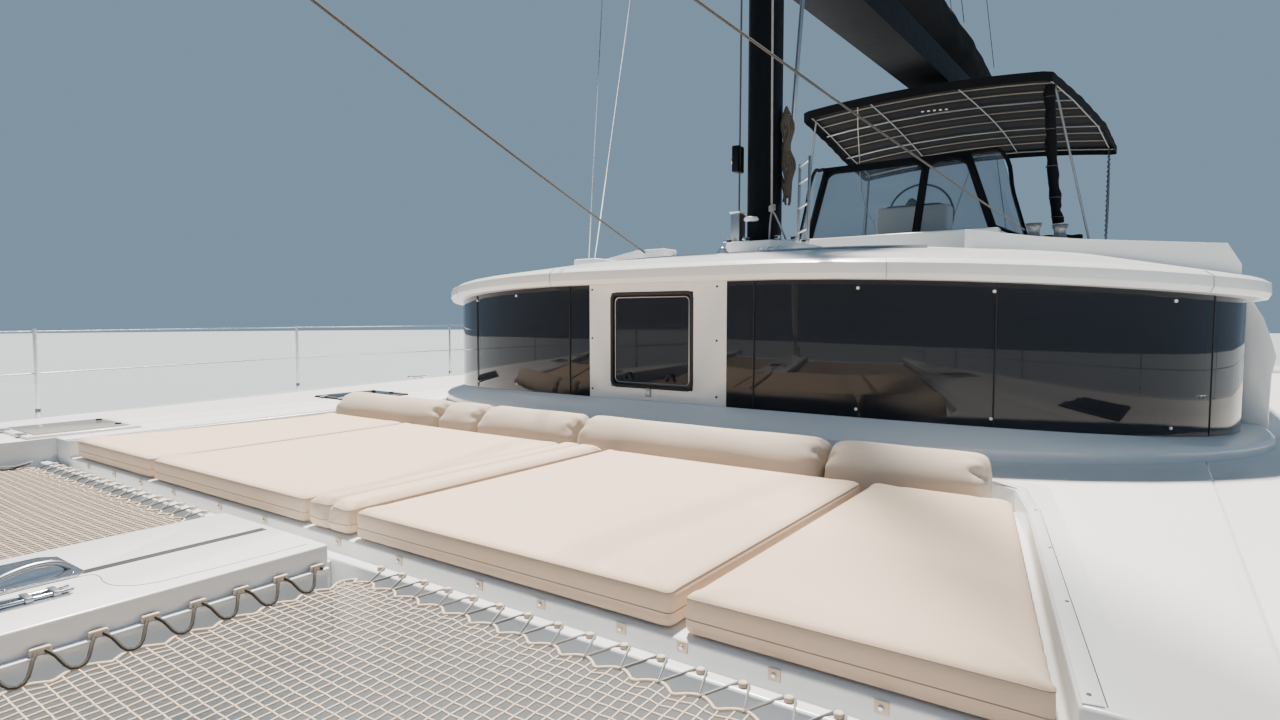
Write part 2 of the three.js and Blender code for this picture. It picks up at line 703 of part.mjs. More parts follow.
const MAST_CHORD = 360;
const MAST_THICK = 250;
function mast() {
  const section = Array.from({ length: 16 }, (_, i) => {
    const angle = (i * Math.PI) / 8;
    return [MAST_X + (MAST_CHORD / 2) * Math.cos(angle), (MAST_THICK / 2) * Math.sin(angle)];
  });
  const tube = prism(section, ROOF_TOP + GAP, MASTHEAD);
  const foot = prism(
    section.map(([x, y]) => [MAST_X + (x - MAST_X) * 1.25, y * 1.25]),
    ROOF_TOP + GAP,
    ROOF_TOP + 60,
  );
  const spreaders = [12500, 20500].flatMap((z) =>
    [-1, 1].map((s) => rod([MAST_X - 60, s * 60, z], [MAST_X - 560, s * 1500, z + 60], 40, 8)),
  );
  return join(tube, foot, ...spreaders, ...gooseneckCheeks());
}

add("mast", mast(), "black");

const BOOM_HALF = 260;
const BOOM_HEIGHT = 330;
function boomFrame(geometry) {
  return geometry.rotateY(BOOM_RISE).translate(BOOM_FRONT, 0, BOOM_LOW);
}
function boom() {
  const { x, low, high, radius } = GOOSENECK;
  const spar = boomFrame(box([-BOOM_LENGTH, 0], [-BOOM_HALF, BOOM_HALF], [0, BOOM_HEIGHT]));
  const pin = rod([x, 0, low + GAP], [x, 0, high - GAP], radius - 5, 16);
  const tongue = box([BOOM_FRONT - 20, x], [-radius + 8, radius - 8], [low + GAP, high - GAP]);
  return join(spar, pin, tongue);
}
add("boom", boom(), "black");

function sailBag() {
  const stations = [
    [-8600, 200, 450],
    [-8000, 250, 600],
    [-6700, 290, 720],
    [-4300, 320, 780],
    [-600, 340, 1150],
    [-150, 310, 1250],
  ];
  const rings = stations.map(([x, half, height]) => {
    const section = [
      [0.45, 0],
      [1, 0.3],
      [0.9, 0.72],
      [0.35, 1],
      [-0.35, 1],
      [-0.9, 0.72],
      [-1, 0.3],
      [-0.45, 0],
    ];
    return section.map(([a, b]) => [x, a * half, BOOM_HEIGHT + GAP + b * height]);
  });
  return boomFrame(loft(rings));
}
add("sail_bag", sailBag(), "canvas");

const STAY_FOOT = [BEAM_X + 60, 0, LONGERON_TOP + GAP];
const STAY_HEAD = [MAST_X + MAST_CHORD / 2 - 30, 0, 26500];
function furledHeadsail() {
  const foot = new THREE.Vector3(...STAY_FOOT);
  const head = new THREE.Vector3(...STAY_HEAD);
  const at = (t) => foot.clone().lerp(head, t).toArray();
  const drum = rod(STAY_FOOT, at(0.012), 110, 12);
  const wire = rod(at(0.005), at(1), 14, 8);
  const lower = rod(at(0.03), at(0.12), 70, 10, 105);
  const upper = rod(at(0.12), at(0.94), 105, 10, 40);
  const mastCut = solid(mast()).translate([0.4, 0, 0]);
  const deckCut = box([BEAM_X - 400, BEAM_X + 600], [-400, 400], [LONGERON_TOP - 400, LONGERON_TOP + GAP]);
  return geometryOf(solid(join(drum, wire, lower, upper)).subtract(mastCut).subtract(solid(deckCut)));
}
add("headsail_furled", furledHeadsail(), "canvas");

const SHROUD_HEADS = [
  { z: 12300, shift: 35 },
  { z: 27000, shift: -35 },
];
const TANG = { x: MAST_X - 60, y: 145 };
function shrouds() {
  const [x, y] = CHAINPLATE;
  const pieces = SHROUD_HEADS.flatMap(({ z, shift }) => [
    rod([x + shift, y, GUNWALE + 90], [TANG.x, TANG.y, z], 8, 6),
    box([TANG.x - 30, TANG.x + 30], [TANG.y - 50, TANG.y + 15], [z - 60, z + 60]),
  ]);
  const plate = box([x - 60, x + 60], [y - 15, y + 15], [GUNWALE + GAP, GUNWALE + 160]);
  const mastCut = solid(mast()).translate([0, 0.4, 0]);
  return geometryOf(solid(join(plate, ...pieces)).subtract(mastCut));
}
addPair("shrouds", shrouds(), "steel");

// Guardrails: stanchions with two lines, from the pulpit at the bow to the gate aft
const STANCHIONS = [9200, 7900, 6600, 4750, 2410, 300, -1800, -3900, -5600, -6900];
const RAIL_INSET = 80;
const RAIL_TOP = 700;
function guardrail() {
  const feet = STANCHIONS.map((x) => [x, outerSide(x) - RAIL_INSET, GUNWALE + GAP]);
  const posts = feet.map(([x, y, z]) => rod([x, y, z], [x, y, GUNWALE + RAIL_TOP], 13, 6));
  const lines = [360, 680].flatMap((h) =>
    feet.slice(1).map(([x, y], i) => {
      const [fx, fy] = feet[i];
      return rod([fx, fy, GUNWALE + h], [x, y, GUNWALE + h], i < 1 ? 13 : 5, 6);
    }),
  );
  return cut(join(...posts, ...lines), hullShape.clone().translate(0, 0, GAP));
}
addPair("guardrail", guardrail(), "steel");

// Sunbed: five pads side by side, and the bolster segments behind them
const PADS = [
  { name: "starboard_outer", front: [-2570, -1560], back: [-2400, -1560] },
  { name: "starboard", front: [-1560, -150], back: [-1560, -150] },
  { name: "centre", front: [-150, 150], back: [-150, 150] },
  { name: "port", front: [150, 1570], back: [150, 1570] },
  { name: "port_outer", front: [1570, 2450], back: [1570, 2155] },
];
const PAD_FRONT = 5100;
const PAD_BACK = 3530;
const SEAM = 4;
for (const { name, front, back } of PADS) {
  const outline = [
    [PAD_BACK, back[0] + SEAM],
    [PAD_FRONT, front[0] + SEAM],
    [PAD_FRONT, front[1] - SEAM],
    [PAD_BACK, back[1] - SEAM],
  ];
  add(`sunbed_pad_${name}`, prism(outline, SUNBED.floor + GAP, SUNBED.floor + CUSHION), "cushion");
}

const BOLSTER_ENDS = [-2510, -1330, -960, -140, 1330, 2030];
const BOLSTER = { x0: 3200, x1: 3515, height: 260 };
for (let i = 0; i < BOLSTER_ENDS.length - 1; i++) {
  const outline = [
    [BOLSTER.x0, SUNBED.floor + GAP],
    [BOLSTER.x1, SUNBED.floor + GAP],
    [BOLSTER.x1, SUNBED.floor + 150],
    [BOLSTER.x1 - 110, SUNBED.floor + BOLSTER.height],
    [BOLSTER.x0 + 60, SUNBED.floor + BOLSTER.height],
    [BOLSTER.x0, SUNBED.floor + 170],
  ];
  add(`bolster_${i + 1}`, profile(outline, BOLSTER_ENDS[i] + SEAM, BOLSTER_ENDS[i + 1] - SEAM), "cushion");
}

// Underwater gear and engines
function rudder() {
  const { x, y, top, bottom, bearing } = RUDDER;
  const ring = (z, ahead, astern, half) => [
    [x + ahead, y, z],
    [x + ahead * 0.5, y + half * 0.85, z],
    [x - 60, y + half, z],
    [x - astern, y, z],
    [x - 60, y - half, z],
    [x + ahead * 0.5, y - half * 0.85, z],
  ];
  const blade = loft([ring(bottom, 130, 420, 45), ring(top, 190, 540, 60)]);
  return join(blade, rod([x, y, top - 20], [x, y, bearing - GAP], 45, 16));
}
addPair("rudder", rudder(), "gelcoat");

function propellerShaft() {
  const { x, y, z } = PROPELLER;
  const shaft = rod([x + 60 + GAP, y, z], [x + 1500, y, z], 32, 12);
  const strut = box([x + 120, x + 340], [y - 18, y + 18], [z, -300]);
  const skeg = box([x + 900, x + 1480], [y - 30, y + 30], [z, -300]);
  return geometryOf(solid(join(shaft, strut, skeg)).subtract(solid(hullShape.clone().translate(0, 0, -0.4))));
}
addPair("propeller_shaft", propellerShaft(), "steel");

function propeller() {
  const hub = rod([-120, 0, 0], [60, 0, 0], 55, 16);
  const blades = [0, 1, 2].map((i) => {
    const blade = new THREE.CylinderGeometry(90, 90, 12, 12).scale(1, 1, 1.45).translate(0, 0, 145);
    return blade.rotateZ(0.6).rotateX((i * 2 * Math.PI) / 3);
  });
  return join(hub, ...blades).translate(PROPELLER.x, PROPELLER.y, PROPELLER.z);
}
addPair("propeller", propeller(), "bronze");

const ENGINE = { inset: 130, height: 780 };
const engineBlock = box(
  [ENGINE_BAY.x0 + ENGINE.inset, ENGINE_BAY.x1 - ENGINE.inset],
  [ENGINE_BAY.y0 + ENGINE.inset, ENGINE_BAY.y1 - ENGINE.inset],
  [ENGINE_BAY.floor + GAP, ENGINE_BAY.floor + ENGINE.height],
);
addPair("engine", engineBlock, "engine");

// Deck lids, hinged on their forward edges
const LID = 35;
const RIM = 60;
addPair(
  "engine_hatch",
  box(
    [ENGINE_BAY.x0 - RIM, ENGINE_BAY.x1 + RIM],
    [ENGINE_BAY.y0 - RIM, ENGINE_BAY.y1 + RIM],
    [DECK + GAP, DECK + LID],
  ),
  "gelcoat",
);
const BOW_LID = { x0: 6000, x1: 6650, y0: 3030, y1: 3480 };
addPair("bow_locker_lid", box([BOW_LID.x0, BOW_LID.x1], [BOW_LID.y0, BOW_LID.y1], [DECK + GAP, DECK + LID]), "gelcoat");

export default boat;
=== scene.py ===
# %% [markdown]
# # Dressing a sailing catamaran
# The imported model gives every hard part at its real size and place, in metres: X runs forward, Y to
# port, Z up, and the waterline is at zero. This script adds the camera, the light, a finish for every
# part, and the soft and small pieces that the plain solids stand in for.

# %% Load the boat
import json
import math
from contextlib import contextmanager

import bpy
from mathutils import Matrix, Vector

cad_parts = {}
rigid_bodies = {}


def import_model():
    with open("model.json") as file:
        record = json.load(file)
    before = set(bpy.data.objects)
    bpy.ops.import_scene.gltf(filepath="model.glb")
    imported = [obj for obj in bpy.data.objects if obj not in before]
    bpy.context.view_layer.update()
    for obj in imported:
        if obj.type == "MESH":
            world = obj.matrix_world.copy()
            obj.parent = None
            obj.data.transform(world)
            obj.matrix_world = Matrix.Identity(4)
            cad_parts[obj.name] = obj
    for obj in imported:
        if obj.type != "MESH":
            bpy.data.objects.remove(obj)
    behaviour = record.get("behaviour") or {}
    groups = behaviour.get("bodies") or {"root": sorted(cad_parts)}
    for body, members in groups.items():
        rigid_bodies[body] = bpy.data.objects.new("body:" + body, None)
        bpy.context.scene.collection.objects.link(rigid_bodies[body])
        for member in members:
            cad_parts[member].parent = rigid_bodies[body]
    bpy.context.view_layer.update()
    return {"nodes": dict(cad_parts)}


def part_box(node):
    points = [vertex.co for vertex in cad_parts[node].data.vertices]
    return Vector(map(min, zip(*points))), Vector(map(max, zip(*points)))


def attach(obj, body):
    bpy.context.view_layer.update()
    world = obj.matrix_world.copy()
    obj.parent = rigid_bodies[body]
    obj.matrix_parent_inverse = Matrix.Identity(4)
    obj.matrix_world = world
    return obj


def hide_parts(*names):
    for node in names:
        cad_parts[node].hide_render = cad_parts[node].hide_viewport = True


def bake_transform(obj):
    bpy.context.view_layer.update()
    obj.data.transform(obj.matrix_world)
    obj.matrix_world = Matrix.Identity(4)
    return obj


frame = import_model()
nodes = frame["nodes"]

# %% [markdown]
# ## The camera
# The picture is taken by somebody standing on the foredeck beside the bow net, looking aft and a
# little to starboard. The horizon and the lines that run aft and athwart fix the lens and both angles;
# the known height over the deck fixes the place.

# %% Set the camera
IMAGE_WIDTH = 1280
FOCAL_PIXELS = 729
SENSOR = 36.0
EYE = Vector((6.65, 2.55, 2.82))
TURN = math.radians(35.0)  # from straight aft towards starboard
DIP = math.atan(43 / FOCAL_PIXELS)  # the horizon lies this far over the middle of the picture

camera = bpy.data.objects.new("camera", bpy.data.cameras.new("camera"))
bpy.context.scene.collection.objects.link(camera)
camera.data.sensor_width = SENSOR
camera.data.lens = SENSOR * FOCAL_PIXELS / IMAGE_WIDTH
camera.data.clip_start = 0.05
camera.data.clip_end = 500.0
camera.location = EYE
gaze = Vector((-math.cos(TURN) * math.cos(DIP), -math.sin(TURN) * math.cos(DIP), -math.sin(DIP)))
camera.rotation_euler = gaze.to_track_quat("-Z", "Y").to_euler()
bpy.context.scene.camera = camera
print("lens:", round(camera.data.lens, 2), "mm")

# %% [markdown]
# ## Floor and light
# A boat afloat stands in nothing, so a plain pale floor lies at its waterline. One broad warm lamp high
# on the starboard quarter throws the soft shadows forward and to port, and a pale cool surround fills
# the shade, so that white mouldings keep their shape.

# %% Lay the floor and hang the light
bpy.ops.object.select_all(action="DESELECT")
bpy.ops.mesh.primitive_circle_add(vertices=96, radius=160, fill_type="NGON", location=(0, 0, 0))
floor = bpy.context.object
floor.name = "floor"

SUN_FROM = Vector((-0.34, -0.24, 0.91))
sun = bpy.data.objects.new("key_light", bpy.data.lights.new("key_light", "SUN"))
bpy.context.scene.collection.objects.link(sun)
sun.data.energy = 16.0
sun.data.angle = math.radians(4)
sun.data.color = (1.0, 0.93, 0.83)
sun.rotation_euler = (-SUN_FROM).to_track_quat("-Z", "Y").to_euler()

world = bpy.data.worlds.new("studio")
bpy.context.scene.world = world
world.use_nodes = True
world.node_tree.nodes["Background"].inputs["Color"].default_value = (0.50, 0.74, 1.0, 1)
world.node_tree.nodes["Background"].inputs["Strength"].default_value = 0.42

# %% [markdown]
# ## Shader arithmetic
# A procedural finish is mostly arithmetic on noise, waves and coordinates. `Wire` wraps the output of
# a shader node and turns Python's operators into Math nodes; `Finish` holds one material and makes any
# other node from its type, its settings and its inputs.


# %% A material maker
class Wire:
    """The output of a shader node; arithmetic on it adds Math nodes."""

    def __init__(self, finish, socket):
        self.finish = finish
        self.socket = socket

    def math(self, operation, other=0.0):
        return self.finish.node("ShaderNodeMath", {0: self, 1: other}, operation=operation)

    def __add__(self, other):
        return self.math("ADD", other)

    def __sub__(self, other):
        return self.math("SUBTRACT", other)

    def __mul__(self, other):
        return self.math("MULTIPLY", other)

    def __gt__(self, other):
        return self.math("GREATER_THAN", other)

    def __lt__(self, other):
        return self.math("LESS_THAN", other)


class Finish:
    """A material under construction, ending in one Principled shader."""

    def __init__(self, name, **constants):
        self.material = bpy.data.materials.new(name)
        self.material.use_nodes = True
        self.tree = self.material.node_tree
        self.shader = self.tree.nodes["Principled BSDF"]
        for socket, value in constants.items():
            self.shader.inputs[socket.replace("_", " ")].default_value = value

    def node(self, kind, inputs=None, output=0, **settings):
        made = self.tree.nodes.new(kind)
        for key, value in settings.items():
            setattr(made, key, value)
        for key, value in (inputs or {}).items():
            if isinstance(value, Wire):
                self.tree.links.new(value.socket, made.inputs[key])
            else:
                made.inputs[key].default_value = value
        return Wire(self, made.outputs[output])

    def feed(self, socket, wire):
        self.tree.links.new(wire.socket, self.shader.inputs[socket])

    def place(self, scale=(1, 1, 1)):
        """Coordinates in metres on the piece itself."""
        where = self.node("ShaderNodeTexCoord", output="Object")
        return self.node("ShaderNodeMapping", {"Vector": where, "Scale": scale})

    def axis(self, where, letter):
        return self.node("ShaderNodeSeparateXYZ", {"Vector": where}, letter)

    def noise(self, where, scale, detail=3.0):
        inputs = {"Vector": where, "Scale": scale, "Detail": detail, "Roughness": 0.55}
        return self.node("ShaderNodeTexNoise", inputs, "Fac")

    def blend(self, share, first, second):
        """The first colour where share is 0, the second where it is 1."""
        return self.node("ShaderNodeMix", {"Factor": share, 6: first, 7: second}, 2, data_type="RGBA")

    def ramp(self, wire, low, high):
        return self.node("ShaderNodeMapRange", {"Value": wire, "To Min": low, "To Max": high})

    def bump(self, height, strength, distance):
        inputs = {"Height": height, "Strength": strength, "Distance": distance}
        self.feed("Normal", self.node("ShaderNodeBump", inputs))

    def shades(self, share, colour, low, high=1.0):
        """Base colour: low times the colour where share is 0, high times it where share is 1."""
        first, second = (rgb(*(min(1.0, c * times) for c in colour)) for times in (low, high))
        self.feed("Base Color", self.blend(share, first, second))

    def level(self, where):
        """1 on level faces at deck height, 0 elsewhere."""
        normal = self.node("ShaderNodeNewGeometry", output="Normal")
        return (self.axis(normal, "Z") > 0.985) * (self.axis(where, "Z") > 2.05)

    def tread(self, where, cloud, smooth, level):
        """A warmer grey with fine raised dots where level is 1, the smooth colour elsewhere."""
        dots = self.node("ShaderNodeTexVoronoi", {"Vector": where, "Scale": 160.0}, "Distance")
        self.bump(dots * level, 0.35, 0.0012)
        grey = self.blend(cloud, rgb(0.70, 0.69, 0.68), rgb(0.75, 0.735, 0.72))
        return self.blend(level, smooth, grey)


def rgb(red, green, blue):
    return (red, green, blue, 1.0)


# %% [markdown]
# ## Finishes
# Gelcoat is a hard white resin skin: nearly smooth, with a faint orange peel and a clear top. Each
# other finish below has the one or two things that make it read as itself.


# %% Gelcoat, floor and tinted glass
def gelcoat():
    f = Finish("white_gelcoat", Coat_Weight=0.25, Coat_Roughness=0.08)
    where = f.place()
    f.shades(f.noise(where, 1.3, 4.0), (0.80, 0.81, 0.81), 0.93)
    f.feed("Roughness", f.ramp(f.noise(where, 2.0, 2.0), 0.22, 0.27))
    f.bump(f.noise(where, 140.0, 1.0), 0.04, 0.001)
    return f.material


def plain_floor():
    f = Finish("pale_floor", Roughness=0.9)
    f.feed("Base Color", f.blend(f.noise(f.place(), 0.05), rgb(0.24, 0.27, 0.30), rgb(0.27, 0.30, 0.33)))
    return f.material


def tinted(name, alpha=0.90, colour=(0.010, 0.011, 0.014)):
    f = Finish(name, Roughness=0.03, IOR=1.5, Alpha=alpha, Specular_IOR_Level=0.3)
    f.shades(f.noise(f.place((1, 1, 4)), 0.8), colour, 1.0, 2.2)
    return f.material


floor.data.materials.append(plain_floor())
WHITE = gelcoat()
DARK_GLASS = tinted("dark_tinted_glass")

# %% [markdown]
# Deck paint is gelcoat with a fine raised pattern for wet feet. The pattern is a bump, and it is kept
# to level faces at deck height, so that walls and rounded corners of the same moulding stay smooth.


# %% Deck gelcoat with a non-slip pattern
RECESS_AFT, RECESS_SIDE, RECESS_FLARE = 3.12, 1.639, 0.184  # the sunbed's recess is smooth


def deck_gelcoat():
    f = Finish("deck_gelcoat", Coat_Weight=0.1)
    where = f.place()
    along = f.axis(where, "X")
    across = f.axis(where, "Y").math("ABSOLUTE")
    outside = ((across - along * RECESS_FLARE) > RECESS_SIDE).math("MAXIMUM", along < RECESS_AFT)
    level = f.level(where) * outside
    cloud = f.noise(where, 1.1, 4.0)
    smooth = f.blend(cloud, rgb(0.74, 0.75, 0.76), rgb(0.80, 0.81, 0.81))
    f.feed("Base Color", f.tread(where, cloud, smooth, level))
    f.feed("Roughness", level * 0.38 + 0.24)
    return f.material


DECK_WHITE = deck_gelcoat()


# %% [markdown]
# Woven cloth is two families of threads. Two wave patterns at right angles, a little uneven, give the
# weave as bump; a slow cloud of lighter and darker tone stands for sun, dust and use.


# %% Woven cloth
THREAD = 0.0012


def woven(name, colour, dust, rough=0.85, bump=0.25, **constants):
    f = Finish(name, Roughness=rough, **constants)
    where = f.place()
    warp, weft = (f.noise(f.place(scale), 0.35 / THREAD, 1.0) for scale in ((1, 12, 12), (12, 1, 12)))
    f.shades(f.noise(where, 2.2, 5.0), colour, 1 - dust, 1 + dust)
    f.bump(warp * 0.5 + weft * 0.5 + f.noise(where, 5.5, 4.0) * 3.0, bump, 0.0015)
    return f.material


BEIGE = woven("beige_outdoor_fabric", (0.70, 0.535, 0.395), 0.05, Sheen_Weight=0.15)
TAUPE = woven("taupe_outdoor_fabric", (0.50, 0.42, 0.34), 0.12, bump=0.35)
PALE_WELT = woven("welt_cord", (0.40, 0.30, 0.22), 0.08)
BLACK_CANVAS = woven("black_canvas", (0.006, 0.0065, 0.008), 0.4, bump=0.15, Specular_IOR_Level=0.1)
SAILCLOTH = woven("sailcloth", (0.62, 0.62, 0.60), 0.06, 0.6)
UPHOLSTERY = woven("pale_upholstery", (0.55, 0.51, 0.45), 0.06)


# %% [markdown]
# Rope is twisted strands. The twist shows as fine slanting stripes, which a wave pattern along the
# diagonal of the object's own axes gives on both families of a net.


# %% Rope, paint and metal
def rope(name, colour):
    f = Finish(name, Roughness=0.9)
    where = f.place()
    inputs = {"Vector": where, "Scale": 70.0, "Distortion": 1.5}
    f.shades(f.noise(where, 3.0, 4.0), colour, 0.72)
    f.bump(f.node("ShaderNodeTexWave", inputs, bands_direction="DIAGONAL"), 0.5, 0.001)
    return f.material


def painted(name, colour, rough, coat=0.0, **constants):
    f = Finish(name, Coat_Weight=coat, Coat_Roughness=0.1, **constants)
    where = f.place()
    f.shades(f.noise(where, 1.7, 4.0), colour, 0.8)
    f.feed("Roughness", f.ramp(f.noise(where, 14.0), rough, rough + 0.15))
    return f.material


def metal(name, colour=(0.66, 0.67, 0.68), rough=0.12):
    f = Finish(name, Metallic=1.0)
    where = f.place()
    f.shades(f.noise(where, 6.0), colour, 0.85)
    f.feed("Roughness", f.ramp(f.noise(where, 30.0), rough, rough + 0.14))
    return f.material


TAN_ROPE = rope("tan_net_rope", (0.72, 0.58, 0.45))
DARK_ROPE = rope("dark_lacing_rope", (0.060, 0.055, 0.048))
GREY_ROPE = rope("flecked_grey_rope", (0.30, 0.29, 0.27))
HANK_ROPE = rope("flecked_dark_rope", (0.085, 0.072, 0.056))
STEEL = metal("polished_steel")
GREY_METAL = metal("grey_anodised", (0.42, 0.43, 0.45), 0.3)
FRAME_METAL = metal("dull_frame_tube", (0.24, 0.25, 0.26), 0.34)
BRONZE = metal("bronze", (0.55, 0.36, 0.16), 0.3)
MAST_BLACK = painted("black_spar_paint", (0.004, 0.005, 0.007), 0.50, Specular_IOR_Level=0.1)
BLACK_RUBBER = painted("black_rubber", (0.016, 0.016, 0.017), 0.6)
GREY_PLASTIC = painted("grey_plastic", (0.35, 0.36, 0.37), 0.5)
BATTEN_TAN = painted("batten_tan", (0.24, 0.20, 0.16), 0.6)
ENGINE_GREY = painted("engine_paint", (0.30, 0.33, 0.36), 0.45, 0.1)


# %% [markdown]
# The hull's skin changes with height: dark bottom paint under the water, a black line over it, and
# white topsides. Height is the Object coordinate's Z, so one material carries all three.


# %% Topsides, waterline and bottom paint
WET_TOP, LINE_TOP = 0.05, 0.13  # the heights between which the black line runs


def topsides():
    f = Finish("hull_topsides", Coat_Weight=0.3, Coat_Roughness=0.06)
    where = f.place()
    height = f.axis(where, "Z")
    level = f.level(where)
    cloud = f.noise(where, 1.1, 4.0)
    white = f.blend(cloud, rgb(0.76, 0.77, 0.78), rgb(0.82, 0.83, 0.83))
    above = f.tread(where, cloud, white, level)
    line = f.blend(height > LINE_TOP, rgb(0.015, 0.016, 0.020), above)
    bottom = f.blend(f.noise(where, 4.0, 6.0), rgb(0.018, 0.024, 0.040), rgb(0.035, 0.045, 0.065))
    wet = height + f.noise(where, 1.5) * 0.02
    f.feed("Base Color", f.blend(wet > WET_TOP, bottom, line))
    f.feed("Roughness", f.ramp(height > WET_TOP, 0.75, 0.2) + level * 0.4)
    return f.material


HULL_SKIN = topsides()


# %% Varnished wood
def varnished():
    f = Finish("varnished_wood", Coat_Weight=0.4, Coat_Roughness=0.1)
    grain = f.noise(f.place(scale=(1.5, 22, 22)), 2.0, 6.0)
    f.feed("Base Color", f.blend(grain, rgb(0.16, 0.075, 0.03), rgb(0.38, 0.20, 0.09)))
    f.feed("Roughness", f.ramp(grain, 0.25, 0.45))
    return f.material


WOOD = varnished()

# %% [markdown]
# ## Modelling helpers
# Every piece below is made with the operators a modeller uses by hand. These helpers do what every
# piece needs: start with nothing selected, press place and size into the mesh, round the edges, copy,
# join, and say which body the piece moves with.


# %% Start, settle, soften
TINY = 1e-6
QUARTERS = (0, 1.57, 3.14, 4.71)  # radians


def fresh(*chosen):
    """Object mode, with only the chosen objects selected and the first one active."""
    if bpy.context.object and bpy.context.object.mode != "OBJECT":
        bpy.ops.object.mode_set(mode="OBJECT")
    bpy.ops.object.select_all(action="DESELECT")
    for piece in chosen:
        piece.select_set(True)
    if chosen:
        bpy.context.view_layer.objects.active = chosen[0]


@contextmanager
def editing(piece):
    """Edit mode with the whole piece selected, and object mode again at the end."""
    fresh(piece)
    bpy.ops.object.mode_set(mode="EDIT")
    bpy.ops.mesh.select_all(action="SELECT")
    yield
    bpy.ops.object.mode_set(mode="OBJECT")


def dress(piece, material):
    piece.data.materials.clear()
    piece.data.materials.append(material)


def settle(name, material):
    """Presses the active object's place, turn and size into its mesh."""
    piece = bpy.context.object
    fresh(piece)
    bpy.ops.object.transform_apply(location=True, rotation=True, scale=True)
    piece.name = name
    dress(piece, material)
    return piece


def finish_modifier(piece, kind, **settings):
    modifier = piece.modifiers.new(kind.lower(), kind)
    for key, value in settings.items():
        setattr(modifier, key, value)
    fresh(piece)
    bpy.ops.object.modifier_apply(modifier=modifier.name)


def smoothed(piece, sharp):
    """Shades a piece smooth, apart from edges sharper than an angle."""
    fresh(piece)
    bpy.ops.object.shade_smooth_by_angle(angle=math.radians(sharp))
    return piece


def soften(piece, width, segments=2, sharp=30):
    """Rounds the edges that are sharper than an angle, and shades the rest smooth."""
    angle = math.radians(sharp)
    finish_modifier(piece, "BEVEL", width=width, segments=segments, limit_method="ANGLE", angle_limit=angle)
    return smoothed(piece, sharp)


def voxelled(piece, size, rounding=0):
    """An even mesh of small faces, made after the edges are rounded."""
    if rounding:
        finish_modifier(piece, "BEVEL", width=rounding, segments=3, limit_method="ANGLE", angle_limit=0.5)
    finish_modifier(piece, "REMESH", mode="VOXEL", voxel_size=size, adaptivity=0.0)


def eased(piece, times=2):
    """Evens a surface out and shades it smooth."""
    finish_modifier(piece, "SMOOTH", factor=0.5, iterations=times)
    bpy.ops.object.shade_smooth()


# %% Blocks, bars and tubes
def block(name, low, high, material, width=0.004, segments=2):
    """A box between two corners, its edges rounded."""
    fresh()
    low, high = Vector(low), Vector(high)
    bpy.ops.mesh.primitive_cube_add(size=1, location=(low + high) / 2, scale=high - low)
    return soften(settle(name, material), width, segments)


def bar(name, start, end, radius, material, sides=16, end_radius=None, width=None):
    """A round bar or cone between two points, its rims rounded."""
    fresh()
    start, end = Vector(start), Vector(end)
    along = end - start
    bpy.ops.mesh.primitive_cone_add(
        vertices=sides,
        radius1=radius,
        radius2=radius if end_radius is None else end_radius,
        depth=along.length,
        location=(start + end) / 2,
        rotation=along.to_track_quat("Z", "Y").to_euler(),
    )
    piece = settle(name, material)
    return soften(piece, min(radius, along.length) * 0.2 if width is None else width, 2, 40)


def tube(name, points, radius, material, closed=False, smooth=True, sides=1):
    """A round tube along points, on a curve that passes through them."""
    fresh()
    bpy.ops.curve.primitive_bezier_curve_add(location=(0, 0, 0))
    curve = bpy.context.object
    spline = curve.data.splines[0]
    spline.bezier_points.add(len(points) - 2)
    for knot, place in zip(spline.bezier_points, points):
        knot.co = place
        knot.handle_left_type = knot.handle_right_type = "AUTO" if smooth else "VECTOR"
    spline.use_cyclic_u = closed
    curve.data.resolution_u = 5 if smooth else 1
    curve.data.bevel_depth = radius
    curve.data.bevel_resolution = sides
    curve.data.use_fill_caps = True
    bpy.ops.object.convert(target="MESH")
    return smoothed(settle(name, material), 50)


def thickened(line, radius, material):
    """Makes the edges of a mesh into a round rope."""
    fresh(line)
    bpy.ops.object.convert(target="CURVE")
    line = bpy.context.object
    line.data.bevel_depth = radius
    line.data.bevel_resolution = 1
    bpy.ops.object.convert(target="MESH")
    line = bpy.context.object
    dress(line, material)
    bpy.ops.object.shade_smooth()
    return line


def grid(columns, rows):
    """A flat grid whose x and y run from -0.5 to 0.5."""
    fresh()
    bpy.ops.mesh.primitive_grid_add(x_subdivisions=columns, y_subdivisions=rows, size=1)
    return bpy.context.object


def up(z):
    return Vector((0, 0, z))


def ring(centre, first, second, angles=QUARTERS):
    """Points round a centre, for a closed tube; first and second are the two radii."""
    return [Vector(centre) + Vector(first) * math.cos(a) + Vector(second) * math.sin(a) for a in angles]


# %% Copy, mirror, join
def duplicate(piece, matrix=None):
    copy = piece.copy()
    copy.data = piece.data.copy()
    bpy.context.scene.collection.objects.link(copy)
    if matrix is not None:
        copy.data.transform(matrix)
    return copy


def joined(name, pieces):
    fresh(*pieces)
    if len(pieces) > 1:
        bpy.ops.object.join()
    whole = bpy.context.object
    whole.name = name
    return whole


def repeated(name, piece, places):
    """Copies of a small piece, which was modelled at the origin, at each place; one joined mesh."""
    copies = [duplicate(piece, Matrix.Translation(Vector(p)) if len(p) == 3 else p) for p in places]
    bpy.data.objects.remove(piece)
    return joined(name, copies)


def mirrored(piece):
    """A port piece once more, on the starboard side."""
    copy = duplicate(piece)
    with editing(copy):
        bpy.ops.transform.resize(value=(1, -1, 1), center_override=(0, 0, 0))
        bpy.ops.mesh.flip_normals()
    copy.name = piece.name.replace("_port", "_starboard")
    return copy


# %% Mount
def mount(piece, body="boat", replaces=()):
    """Fixes a finished piece to its body, and hides the imported parts that it replaces."""
    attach(piece, body)
    if replaces:
        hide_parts(*replaces)
    return piece


def both(piece):
    """Mounts a port piece and its starboard twin."""
    mount(piece)
    mount(mirrored(piece))


